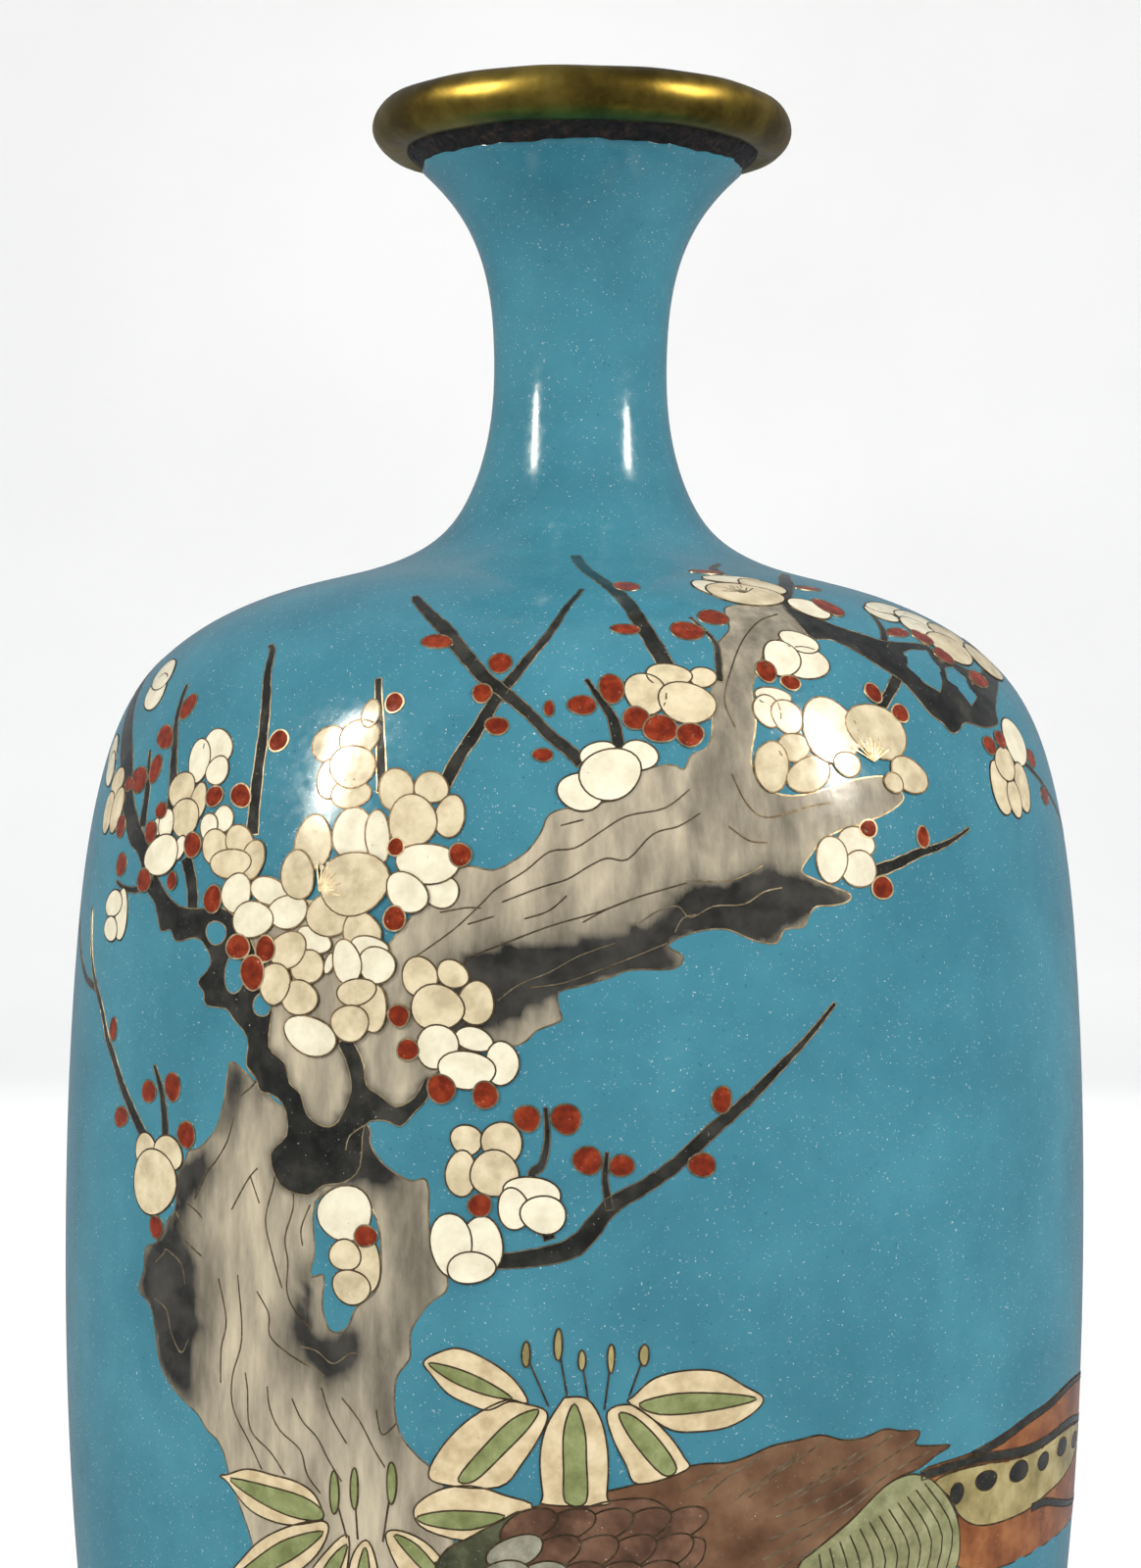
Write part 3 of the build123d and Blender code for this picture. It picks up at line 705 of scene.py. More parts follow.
WINDOWS = [
    [(44.7, 63.7), (46.1, 65.9), (48.3, 66.4), (51.9, 66.4), (51.5, 63.7), (49.7, 61.6), (48.3, 60.5),
     (46.1, 61.6)],
    [(51.5, 62.3), (52.9, 63.9), (55.1, 64.1), (56.3, 62.6), (56.5, 60.1), (54, 59)],
    oval(-37.5, 30.3, 1.4, 1.9), oval(-33.6, 27.4, 1.1, 1.2), oval(-40.5, 34.4, 1.5, 1.2),
]

# Twigs: path, then widths spread evenly along it.
TWIGS = [
    ([(-43.5, 66.3), (-42, 65.2), (-40.3, 62), (-38.7, 59), (-37.5, 55), (-37, 50), (-36.6, 44.5)],
     [0.5, 1.2, 1.6]),
    ([(-55.8, 61), (-54.3, 56.8), (-53, 54.3), (-52, 51.8), (-51.3, 50), (-50, 45)], [0.6, 1.6]),
    ([(-58.6, 53.3), (-57.5, 51), (-56.6, 48.5), (-56.3, 45)], [0.5, 1.5]),
    ([(-61.1, 39.1), (-59, 38.5), (-57, 38.3), (-55.3, 38.4), (-53, 39)], [0.4, 0.8]),
    ([(-46.5, 42), (-45.3, 40), (-44.6, 37.8), (-44.5, 35.8)], [1.6, 1.7]),
    ([(-69.3, 36), (-68.1, 32), (-66.8, 29.8), (-65, 27.8), (-62.5, 25.4), (-60.3, 22.3), (-58.8, 21),
      (-56.5, 18.3), (-54, 15.8), (-50.6, 12.6)], [0.5, 0.9, 1.3]),
    ([(-78, 34), (-74, 31), (-69.5, 28.4), (-65.4, 27.6)], [0.4, 0.9]),
    ([(-49.5, 20.4), (-47.9, 17.5), (-47.1, 13.5), (-47.3, 9)], [0.5, 1.4]),
    ([(-23.8, 61.3), (-22, 55), (-21, 49)], [0.7, 1.1]),
    ([(-25.9, 75.6), (-24.8, 74.5), (-20.1, 70.5), (-17.4, 68.2), (-14.7, 65.3), (-12.1, 62.6),
      (-10.8, 61.3), (-7.9, 59.2), (-5.3, 57.1), (-3.2, 55), (-1.1, 53.4), (0.3, 52.1)],
      [0.6, 1.6, 1.5, 1.1, 1.3]),
    ([(0.4, 77.4), (-0.5, 75.3), (-1.8, 72.6), (-2.9, 69.7), (-4.2, 66.8), (-5.8, 64.2), (-7.4, 61.6),
      (-8.9, 59.5), (-10, 57.4), (-11.3, 55), (-12.9, 52.4), (-14.6, 48.6)], [0.5, 0.8, 1.3, 1.4]),
    ([(-1, 93), (-0.3, 90.6), (1.5, 85), (3.9, 80), (5.3, 77.4), (6.8, 74), (7.9, 70), (8.9, 66.8),
      (10.4, 62.4)], [1.0, 1.5, 1.8]),
    ([(0.8, 61.2), (2.4, 58.7), (3.7, 56.6), (4.3, 53.2)], [0.4, 1.4]),
    ([(15.1, 70.8), (16.3, 68.4), (17.1, 66.3), (16.8, 64.2), (16.2, 61.1)], [0.3, 0.8]),
    ([(31, 41), (34.9, 41.9), (38.6, 43.1), (41.3, 43.6), (44.1, 44.4), (47.2, 45.6)], [1.4, 0.3]),
    ([(36.4, 58.2), (41.6, 62.2)], [1.1, 1.3]),
    ([(-9, 3.2), (-4.7, 3.6), (0, 4.9), (3.3, 8.7), (6.7, 10.7), (10, 13), (13.3, 16), (16.7, 18.7),
      (20, 21.7), (23.3, 24.7), (26.7, 28.2)], [1.3, 2.0, 1.4, 1.4, 0.9, 0.4]),
    ([(-3, 18.3), (-2.8, 15.3), (-3.3, 12.7), (-4.3, 11.3), (-2.5, 5.5)], [0.4, 1.1]),
    ([(3, 14), (2.8, 11.3), (3.3, 8.4)], [0.4, 0.8]),
    ([(31.5, 74.6), (35.4, 77.6), (39, 80.1), (42.6, 82.3), (46.1, 84.4), (49.7, 85.9), (55, 87.6)],
     [1.8, 1.5, 0.8]),
    ([(29.7, 84.6), (31.9, 88), (34, 89.4), (39, 91.2)], [1.2, 0.4]),
    ([(43.3, 66.9), (46.1, 69.4), (48.3, 72.3), (50.1, 75)], [0.9, 0.4]),
    ([(62, 53.4), (69, 50.5), (78, 46.4), (86, 44)], [0.7, 0.4]),
]

# Thin wires on the bark: open runs inside the trunk and the arm.
BARK_WIRES = [
    [(-35, 21), (-34, 19.8), (-35.9, 18.2)], [(-36.8, 16), (-37.6, 13.5), (-39.1, 11.4), (-40.3, 10.2),
                                              (-42.1, 7.3)],
    [(-33.5, 11.1), (-34.7, 9.9), (-36.8, 6.7)], [(-33.2, 7.6), (-34.4, 10.2)],
    [(-31.3, 10.8), (-31.5, 9.4), (-32.4, 6.1), (-31.6, 2.9), (-30.3, -0.6)],
    [(-29.1, 9.1), (-29.1, 7.3), (-30, 4.4), (-29.6, 2), (-29.7, -0.9), (-28.5, -3), (-26.8, -4.3)],
    [(-27.1, 7.9), (-28.1, 5.5), (-27.9, 3.8)], [(-33.4, -1.2), (-31.9, -3.3), (-31.8, -5.4), (-30, -6.8),
                                                 (-27.4, -8)],
    [(-38.5, -0.4), (-37.4, -4.5), (-38.1, -7.4), (-38.2, -10.9)],
    [(-35.9, 0.2), (-35.3, -6), (-36.6, -10.1), (-36.5, -13.3), (-34.4, -16.5), (-32.9, -19)],
    [(-34.9, -9.5), (-34.6, -11.2), (-34.3, -15.1), (-31.8, -17.1), (-30, -19.2)],
    [(-32.1, -10.6), (-31.8, -12.7), (-30.6, -14.8), (-28.2, -16.5), (-27.4, -18.9), (-25.9, -20.6)],
    [(-29.1, -11.5), (-27.9, -13.6), (-26.2, -15.1), (-25, -17.1), (-23.5, -19.2)],
    [(-25.7, -10.1), (-24.7, -12.7), (-22.9, -15.4)],
    [(-23.4, -10.9), (-21.5, -13), (-20, -15.6), (-18.8, -17.4)],
    [(-19.7, -11.8), (-19.1, -14.2), (-17.6, -13)],
    [(-48.4, 0.2), (-46.9, 1.3), (-46.5, 1.7), (-44.1, 0.5), (-43.4, -1.5)],
    [(-48.5, -3.6), (-46.5, -4.5), (-45.6, -6.8), (-44.1, -8.6), (-42.9, -7.1)],
    [(-43.2, 6.7), (-41.8, 6.1), (-41, 5.5)],
    [(-45.1, 5.7), (-44.1, 4.6), (-43.7, 3.2)], [(-43.4, 2.9), (-41, 1.6)],
    [(-28.1, -6.2), (-26.2, -6.5), (-24.4, -7.6), (-22.6, -6.5), (-21.8, -6.4)],
    [(-27.8, -7.7), (-26.8, -8), (-25.3, -8.9)],
    [(-21.3, 16), (-22.8, 14.9), (-23.2, 13.5)], [(-1.8, 45.8), (0.5, 46.4)],
    [(-16.9, 32.3), (-12.5, 35.4), (-9.5, 38.2), (-8.2, 39.5), (-5.3, 41.3), (-2.9, 43.2), (-0.3, 43.6),
     (2.4, 45.3), (5, 46.8), (8.9, 47.6), (11.6, 49.5)],
    [(-14.6, 30.6), (-11.6, 32), (-10.2, 33), (-7.7, 34), (-2.8, 35.9), (2, 37.3), (6, 38.8), (11, 40.2)],
    [(-7.8, 28.6), (-5.7, 30.2), (-2.8, 31.4), (0.1, 33), (3.7, 34.3)],
    [(-4.6, 29.9), (-1.3, 30.4), (2, 31.6), (4.9, 32.7), (8.9, 34.3)],
    [(-13.9, 37.1), (-11.3, 37.6), (-9.7, 37.6)],
    [(-7.6, 38.2), (-3.7, 39.7), (-1.1, 40.5), (1.1, 41.8), (2.9, 42.6), (5, 42.5), (7.6, 45), (10.3, 45.8),
     (12.6, 47.1)],
    [(-11, 36), (-8.4, 36.8)], [(-5.3, 36.6), (-2.9, 37.4), (-1.1, 38.9)],
    [(0.5, 36.3), (2.9, 37.6), (5, 38.4)],
    [(5.8, 36), (7.9, 37.4), (10, 37.9), (11.3, 36.8), (13.7, 37.9), (16.9, 38.1), (19.1, 39.3),
     (21.1, 39.7)],
    [(9.7, 35.3), (10.5, 36.7), (11.9, 37.1)], [(11.1, 40.5), (15.5, 40.4), (19.1, 41.9)],
    [(15.6, 45.8), (17.7, 44.4), (19.7, 44.2)], [(16.3, 51.1), (17.7, 48.1), (19.9, 46.7), (24.7, 47.8),
                                                 (27.4, 48.2)],
    [(17.2, 56), (16.4, 59), (18.2, 63), (21, 67), (25, 70.4), (29, 72)],
    [(-30, -26), (-29, -34), (-31, -42), (-34, -50)],
    [(-22, -40), (-21, -47), (-24, -54)], [(-16, -30), (-15.4, -38), (-13, -46), (-10, -53)],
]

# Flowers: colour and petals (angle, tape, half width, half height and any tilt), back to front.
FLOWERS = [
    ("white", [(-64.6, 60.3, 3.1, 2.2, -30), (-66, 62.6, 3.2, 2, -25)]),
    ("white", [(-73.5, 53, 3, 1.8, -30), (-72, 51.3, 2.6, 1.6, -35)]),
    ("cream", [(-66.6, 49.8, 2.2, 1.7), (-67.8, 46.5, 1.8, 2.4, 10), (-64.5, 46.8, 1.8, 2.6, -8)]),
    ("white", [(-58.8, 35.6, 1.6, 2.7), (-61.2, 36.7, 2.3, 1.5, 10), (-61.4, 34, 2, 1.3, -8)]),
    ("white", [(-44.3, 53.6, 2.5, 1.9, -20), (-47, 52.2, 1.8, 2.4, 10), (-43.4, 51.1, 1.7, 1.6, 15)]),
    ("cream", [(-49.1, 49, 2.3, 2, 15), (-45.7, 47.8, 1.3, 2.1, -5), (-47.6, 46.1, 2.4, 2.1)]),
    ("white", [(-52.6, 45.2, 1.3, 1, 30), (-50.9, 45.3, 1.4, 1.8), (-47.6, 43, 0.9, 1.3, -15),
               (-51.1, 42.1, 3.3, 2.1, 8)]),
    ("white", [(-41.2, 46, 1.5, 1.5), (-43.2, 45.2, 1.35, 1.45)]),
    ("cream", [(-41.8, 43.2, 2, 1.8), (-38.3, 43.9, 2, 1.5, -10), (-36, 42, 1.5, 2, -5),
               (-39.2, 41.5, 2.9, 1.5)]),
    ("white", [(-37.9, 38.5, 2.1, 2), (-33.4, 38.8, 2.5, 1.4, -15), (-30.9, 36.8, 2.4, 1.7, 15),
               (-35.4, 35.9, 2.6, 1.9)]),
    ("white", [(-27.5, 34.1, 2.1, 1.2, -25), (-25.6, 31.8, 0.5, 1.1, -15)]),
    ("cream", [(-28.1, 31.4, 1.9, 1.7, 20), (-28.9, 28.3, 2.2, 1.7), (-30.6, 33, 2.3, 1.8, 15),
               (-32, 29.6, 1.9, 2.1, 10)]),
    ("white", [(-27.5, 24.6, 3.1, 1.9, -12)]),
    ("white", [(-23.8, 44.8, 2.5, 2.5), (-21, 44.5, 1.3, 2.8, 8)]),
    ("cream", [(-28.5, 43.8, 2.1, 2.9), (-30, 40.5, 1.9, 2.6, 12), (-26.1, 36.5, 2.5, 2, -10),
               (-22.1, 35, 2.2, 1.9, -20), (-23.3, 39.8, 3.8, 3.2)]),
    ("cream", [(-28.2, 54, 1.9, 1.9), (-24.5, 54.6, 2.2, 2), (-27.2, 50.3, 1.7, 2), (-24.6, 48.8, 2.2, 1.5),
               (-24.8, 51.6, 2.6, 2.2), (-23.6, 57.2, 1, 1.5)]),
    ("cream", [(-19.4, 49.3, 1.9, 2.1), (-15.5, 49.5, 1.9, 1.5, -15), (-13.3, 46.6, 1.6, 2.1, -5),
               (-17.3, 46.1, 2.6, 2.6)]),
    ("white", [(-13.8, 39.1, 1.8, 1.6, 20), (-15.4, 41.9, 3.3, 2), (-17.4, 39, 2.4, 1.8, -30)]),
    ("white", [(-21.2, 33.6, 2.1, 1, -5), (-20.3, 31.8, 2, 1.8), (-23.6, 32, 1.6, 2.2, 15)]),
    ("cream", [(-20.5, 27.5, 1.5, 2.3), (-22.4, 29.1, 2.2, 1.3, 15), (-23, 26, 2.1, 1.8, -10)]),
    ("cream", [(-15.8, 30.8, 1.9, 1.9), (-12.4, 31.1, 1.7, 1.3, -20), (-10, 28.3, 1.9, 2.1),
               (-13.9, 27.8, 2.8, 2.2)]),
    ("white", [(-10.1, 24.8, 1.9, 1.2, -15), (-7.3, 22.5, 1.7, 2.1, -5), (-13.8, 24, 2.1, 2.2),
               (-10.8, 21.8, 2.9, 1.85)]),
    ("cream", [(14.3, 61.6, 1.5, 1.2, 20), (10.3, 61.8, 2.4, 1.4), (7.4, 59.6, 2.1, 2.4),
               (12, 58.6, 3, 2.3, -5)]),
    ("white", [(6.3, 52.9, 1.9, 1.6, -10), (2.1, 52.9, 1.9, 1.4, 10), (0.3, 49.2, 2.4, 1.9, -10),
               (3.3, 51, 3.1, 2.6, 10)]),
    ("white", [(28.3, 63.8, 3, 2.1, 15), (29, 66.9, 2.2, 1.7, -20), (25.2, 64.4, 2, 2.7, -20)]),
    ("white", [(22.4, 59.4, 2, 1.1, -5), (21.3, 57.8, 1.5, 1.8, 15), (23.6, 57.2, 1.7, 1.9)]),
    ("cream", [(23.8, 53.9, 1.8, 1.5), (20.9, 51.9, 1.9, 2.6, -5), (25.2, 51.1, 2.7, 1.7, 20)]),
    ("white", [(28.8, 55.8, 3.4, 3.5), (30.2, 52.2, 1.6, 1.3)]),
    ("cream", [(35.2, 55.8, 3.8, 3, -10), (38.6, 51.1, 2.6, 1.8, -20), (36.1, 50.3, 1.3, 1, -20)]),
    ("white", [(30.2, 44.2, 2.2, 1.6, -10), (30.3, 41.5, 2.2, 1.8), (27, 42.5, 1.8, 2.4)]),
    ("white", [(22.3, 78.6, 2, 2.6), (29.4, 82.2, 3.6, 1.6)]),
    ("cream", [(33.2, 79.8, 2.6, 2.7), (27.2, 77, 4.5, 3.2)]),
    ("white", [(36.1, 73.7, 2.3, 2.4)]),
    ("white", [(51.9, 73.4, 2.3, 1.8, -10), (56.9, 75.1, 4, 1.7, 5), (62, 73, 4, 2), (57.5, 70.8, 3, 2.2)]),
    ("cream", [(66.5, 70, 4, 2.3), (60.4, 67.3, 4.3, 2.8), (69.7, 65.5, 3.8, 3)]),
    ("white", [(62.5, 55, 3.1, 2.7, 10)]),
    ("cream", [(61, 50, 1.9, 2.8, -10), (55, 49.8, 1.9, 2.9, 10), (58, 48.7, 1.6, 2.1),
               (57.5, 52.5, 2.3, 1.9)]),
    ("cream", [(-10.7, 15, 1.6, 1.5), (-7.2, 14.8, 2, 2.1), (-11.2, 11.7, 1.6, 2.2),
               (-7.9, 11.8, 2.5, 2.2)]),
    ("white", [(-4.2, 9.9, 2.8, 1.7, -5), (-6, 8.4, 1.6, 2, 10), (-3.1, 7.9, 2.2, 1.9)]),
    ("white", [(-9.1, 4.8, 2.1, 2.9), (-12.1, 4.8, 2.1, 3.1), (-10.1, 2.6, 2.5, 1.5, 8)]),
    ("cream", [(-50.6, 11.6, 1.9, 1.8), (-46.5, 11.6, 2.4, 1.8, -10), (-48.9, 8.4, 3.8, 3.5)]),
    ("white", [(-23.2, 7.3, 3.1, 2.7)]),
    ("cream", [(-20.7, 2.3, 1.5, 2.7), (-23.1, 3.2, 1.7, 1.6), (-22.4, 0.1, 2.1, 1.7, -20)]),
]
BUDS = [
    (-52.8, 58.3, 1.3, 1.5), (-55.6, 54.8, 2, 1.2, -20), (-55.8, 51.3, 1.2, 1.6),
    (-59.5, 50.1, 2.1, 1.4, -10),
    (-62.1, 49.6, 1.2, 0.8), (-62.1, 45, 1.2, 1.3), (-60.3, 40.9, 1.3, 1.3), (-53.9, 44.5, 1.2, 1.2),
    (-52.4, 46.8, 1.1, 0.9), (-54, 39.4, 1.5, 1.2), (-48.4, 39.5, 0.8, 1), (-43.1, 48.4, 1.3, 1.1),
    (-45.5, 43.3, 1.4, 1.3), (-41.3, 37.8, 1.35, 1.4), (-35, 54.3, 1.2, 1.2), (-39, 48.5, 1.5, 1.2, -30),
    (-37.1, 33.1, 1.55, 1.3), (-33.4, 33, 1.2, 1.4), (-34.9, 30.6, 1.5, 1.8), (-21, 58.4, 1, 1.1),
    (-18.9, 43.5, 0.9, 0.9), (-12, 42.8, 1.15, 1.15), (-18.6, 36.4, 1.2, 1.2), (-17.8, 26.9, 1.1, 1.1),
    (-16.8, 23.6, 1.1, 1.1), (-13.3, 19.9, 1.45, 1.4), (-8.9, 19.4, 1.3, 1.3), (-9.3, 63.2, 1.2, 1.3),
    (-10.9, 59.5, 1, 1.1), (-8.9, 55.9, 1.2, 0.95), (-17.9, 66.3, 1.8, 1, -10), (-3.3, 57.8, 0.5, 0.9),
    (-3.8, 52.9, 1, 0.7), (0.3, 58.2, 1.4, 1.1), (3.6, 60.1, 1.25, 1.7), (5.9, 68.4, 1.5, 0.85),
    (7.6, 78.4, 1.4, 1.4), (13.9, 68.3, 1.8, 1.5), (18.4, 70.9, 1.6, 1.5), (6.2, 56.8, 1.4, 1.2),
    (8.8, 55.7, 1.7, 1.5), (12, 55.1, 1.4, 1.25), (22.4, 62.5, 1.1, 1.4), (25.1, 61.1, 1.1, 0.9),
    (36.3, 60.1, 1, 1.2), (39.4, 57.8, 1.2, 1), (31.9, 45.6, 1.1, 0.9), (33.1, 39.6, 1.3, 1.2),
    (39.4, 44.7, 0.9, 1.1), (27.2, 85.7, 2, 1), (40.3, 74.1, 1.6, 2), (44.4, 80.1, 2, 0.8),
    (49.4, 69.4, 2.2, 0.8, 10), (54.4, 68.7, 1.6, 1.3), (55.1, 65.7, 1.5, 1.3), (60.1, 62.5, 2, 1.2),
    (54.8, 54.5, 1.3, 1), (58, 55.2, 1.2, 1), (66.8, 53.2, 1.4, 1), (69, 49, 1.5, 1),
    (-58.8, 23.5, 0.9, 1.2), (-55.9, 14.5, 1.5, 1.1, 10), (-50.3, 17.6, 1.3, 1.2), (-46.1, 18.4, 1.3, 1.5),
    (-43.6, 13.7, 1.35, 1.4), (-48.3, 3.8, 1.15, 1.15), (-20.9, 5.2, 1.2, 1.1), (-4.8, 17.2, 1.3, 1.3),
    (-1, 17.2, 1.45, 1.5), (1.1, 13.2, 1.4, 1.4), (4.4, 12.7, 1.2, 1.1), (14.3, 19, 1.05, 1.3),
    (12.3, 12.7, 1.35, 1.2), (-9.3, 8.7, 1.2, 1.1),
]
# Open flowers show stamens: (middle, then how far they fan, from and to, in degrees).
STAMEN_REACH = 2.8
STAMENS_IN_FAN = 9
STAMEN_WIDTH = 0.16
STAMEN_TIP = 0.24
STAMENS = [((-27.2, 39), -10, 100), ((33.8, 52.5), 30, 150), ((27.2, 77.0), 40, 170)]

# Leaves: a pale blade and a green midrib.
LEAVES = [
    ([(-14.8, -6.8), (-13.3, -5.8), (-11.3, -5.3), (-8.7, -6.2), (-6, -8), (-4.5, -10.3), (-6.3, -10.3),
      (-8.3, -11.2),
      (-10, -10.8), (-12.3, -9.8), (-14, -8)],
     [(-14.3, -6.9), (-11.7, -7.2), (-8.7, -8.3), (-6, -10), (-8.7, -9.7), (-12, -8.5)]),
    ([(-4.7, -10.5), (-6.7, -10.2), (-10, -12), (-12.7, -14.7), (-14.3, -17.7), (-12.7, -18.7),
      (-7.3, -18.7), (-5, -16.3),
      (-3, -13), (-2.7, -11.2)],
     [(-3.5, -11), (-6, -12), (-8.7, -14.7), (-11.3, -18), (-9.7, -18.2), (-6.7, -15.3), (-4.3, -12.7)]),
    ([(-0.7, -9.8), (-1.3, -10.3), (-2.7, -12.7), (-3.3, -15.7), (-3, -19.3), (-2.7, -20.3), (3, -20.3),
      (3.2, -19.3),
      (3.3, -15.7), (2.7, -12.3), (1.3, -10)],
     [(0, -10.4), (-1, -13), (-1, -17), (-0.8, -20), (1.2, -20), (1.2, -16), (1, -13)]),
    ([(3.2, -11.2), (3.7, -13.7), (5, -16.3), (6.3, -18.3), (11, -17), (10.7, -15.7), (9.3, -13.7),
      (7.3, -11.7), (5.3, -10.5)],
     [(4.3, -11.4), (5.6, -14), (8.6, -17.4), (10, -16.8), (8.4, -14.2), (6, -11.8)]),
    ([(5.2, -10.2), (5.7, -9.7), (7.7, -8), (10.7, -7.3), (14, -7.5), (16.7, -9), (18.7, -10.3),
      (17.7, -11.7), (15, -13),
      (11.7, -13.3), (9.3, -13), (6.7, -11.3)],
     [(6.3, -10.4), (10, -9.5), (15, -9.7), (18, -10.4), (13.3, -11.3), (8.3, -11.5)]),
    ([(-38.5, -20.4), (-37.4, -20.1), (-34.7, -19.2), (-31.5, -19.4), (-28.5, -19.8), (-26.5, -20.9),
      (-25.6, -23),
      (-26.8, -23.6), (-29.7, -24.2), (-32.6, -23.9), (-35, -23), (-37.4, -20.9)],
     [(-37, -20.4), (-29.1, -20.9), (-25.9, -22.1), (-26, -23.3), (-29.4, -23.3), (-33.8, -22.1)]),
    ([(-25, -23.9), (-26.5, -23.4), (-30, -24.5), (-33.2, -26.2), (-35.6, -28.3), (-39, -32), (-35, -31.6),
      (-30, -29.6),
      (-26.4, -26.8)],
     [(-25.6, -24.4), (-29.8, -25.6), (-33.4, -27.8), (-37.6, -31.2), (-33, -29.6), (-28.4, -27)]),
    ([(-22.8, -24.6), (-25, -26), (-28, -30), (-28.4, -34.6), (-25.6, -33), (-23.4, -29.4)],
     [(-23, -25.4), (-25.6, -28), (-27.4, -33), (-25.4, -31), (-23.8, -28)]),
    ([(-20.9, -24.8), (-22.6, -27), (-23.2, -32), (-21.6, -36.4), (-19.4, -32), (-19.8, -27)],
     [(-21.1, -25.6), (-22, -29), (-21.6, -34.6), (-20.6, -31), (-20.6, -27)]),
    ([(-18.8, -24.2), (-17, -23.6), (-14, -25), (-11.4, -28.6), (-13.6, -30), (-17, -28)],
     [(-17.9, -24.1), (-15.4, -24.9), (-12.6, -28.2), (-14.8, -27.4)]),
    ([(-15.8, -21.3), (-13.3, -19.3), (-10, -18.7), (-6.7, -19.5), (-4, -20.7), (-9, -24), (-14.5, -23.3)],
     [(-15.4, -22), (-11.7, -21.2), (-6.7, -21.5), (-10, -23), (-14.3, -22.8)]),
]
# Bracts: a stalk between two places and the tip's half width and half height.
BRACTS = [
    ((-2.5, -10.7), (-4.7, -5.7), 0.6, 1.2), ((-0.7, -9.7), (-1.6, -4.7), 0.6, 1.5),
    ((1.3, -10), (0.7, -6.2), 0.5, 1),
    ((2.9, -11), (3.5, -6), 0.5, 1.4), ((5.3, -9.7), (6.7, -5.7), 0.7, 1),
    ((-23, -24.8), (-24.3, -20.4), 0.7, 2.2),
    ((-21.8, -24.8), (-22.1, -19.8), 0.6, 2), ((-19.1, -24.8), (-18.1, -18.9), 0.7, 2.1),
]

# The pheasant's cells: outline, enamel, level.
BIRD = [
    ([(37.6, -19.4), (45.4, -18.4), (53.4, -16.8), (61.8, -15.5), (70.1, -14.7), (80, -15.5), (92, -17.4),
      (106, -20.5),
      (126, -25.5), (112, -28), (98, -30), (84, -31.2), (67.3, -31), (50, -31.4), (43.6, -29.8),
      (43.4, -25), (41.9, -22.6)],
     "orange", 2),
    ([(39.7, -20.6), (45, -19.9), (56, -20.4), (67.3, -19.8), (78, -20.6), (92, -21.6), (108, -23.4),
      (92, -23.4),
      (78, -23.4), (72.9, -24.2), (67.3, -25.1), (61.8, -25.6), (56, -26.4), (48, -26.4), (44, -25),
      (42, -22.6)], "olive", 3),
    ([(-13.1, -25.8), (-9.9, -23.6), (-7.4, -22.2), (-4.9, -21), (-2.4, -20.1), (0.1, -19.5), (4, -18.8),
      (7.6, -17.9),
      (9.7, -17), (12.6, -16.5), (15.1, -16.5), (17.2, -16), (19.7, -15.1), (22.6, -14.7), (25.1, -14.4),
      (27.6, -15.1),
      (30.1, -15.1), (32.6, -14.5), (34.7, -14.9), (36.9, -15.1), (37.2, -15.6), (36.7, -16.5), (39, -16.9),
      (41.7, -17.2),
      (39.7, -17.9), (37.2, -19), (34.7, -19.5), (32.6, -20.4), (29.7, -22.6), (26.9, -24.4), (24.4, -26.1),
      (22.9, -27.2),
      (21, -31), (15, -35), (6, -37.5), (-3, -38), (-10, -35.6), (-14, -31)], "brown", 4),
    ([(-13.5, -26.4), (-16.5, -29.5), (-19.5, -34), (-22.5, -37.6), (-25.6, -39.4), (-29, -41.8),
      (-25, -43), (-20.6, -44),
      (-17, -42), (-14.6, -38.6), (-11.5, -35), (-9, -31)], "forest", 5),
    ([(-13.1, -25.8), (-9.9, -23.6), (-7.4, -22.2), (-4.9, -21), (-2.8, -22.8), (-4, -26), (-6, -30),
      (-10, -31.4), (-13.6, -29)],
     "forest", 6),
    ([(-2.4, -22.9), (-0.6, -21.5), (2.6, -20.1), (6.9, -19.7), (9, -20.6), (10.1, -21.9), (11.5, -22.6),
      (11.5, -23.5),
      (12.9, -24), (12.9, -25.4), (12.2, -26.5), (9, -29), (4, -30.5), (-1, -30), (-4, -27)], "umber", 5),
    ([(32.6, -20.4), (35.4, -19.5), (37.6, -19.7), (39.7, -20.8), (41.9, -22.9), (43.3, -25.1),
      (43.8, -27.2), (43.6, -29.7),
      (41, -33), (35, -35), (28, -35.4), (20.4, -33.6), (22.9, -27.4), (24.4, -26.1), (28.6, -23.4)],
      "sage", 5),
    ([(-26.4, -40), (-29, -41.8), (-26, -42.6)], "cream", 6),
    ([(-25.4, -40.2), (-22.6, -38.6), (-20.4, -39.6), (-21, -42), (-24, -42.4)], "red", 6),
    ([(-15, -33.4), (-12.6, -35.6), (-14.6, -38.4), (-17.6, -35)], "cream", 7),
]
BIRD_BANDS = [
    ([(37.6, -19.8), (45.1, -19.2), (50.7, -19.5), (56.2, -19.8), (61.8, -19.6), (67.3, -19.2),
      (72.9, -19.5), (80, -20.6),
      (94, -22), (110, -24)], [0.9, 0.9, 0.8, 0.3]),
    ([(45.4, -18.8), (50.7, -17.8), (56.2, -16.6), (61.8, -16), (70.1, -15.1), (80, -15.9), (96, -18.4),
      (112, -22)],
     [0.9, 0.8, 0.5, 0.2]),
    ([(57.9, -26.3), (61.8, -26.4), (67.3, -27.6), (72.9, -28.7), (80, -29.6), (92, -29.8)],
     [0.8, 0.7, 0.2]),
]
TAIL_SPOTS = [
    (43, -22.3, 1, 1.1), (47.9, -21.7, 1.9, 1), (54.4, -21.8, 2, 1.1), (60.5, -21.8, 1.6, 0.9),
    (66.9, -21.4, 2, 0.9), (74.3, -22, 2.3, 0.8), (82, -22.4, 1.8, 0.6),
]
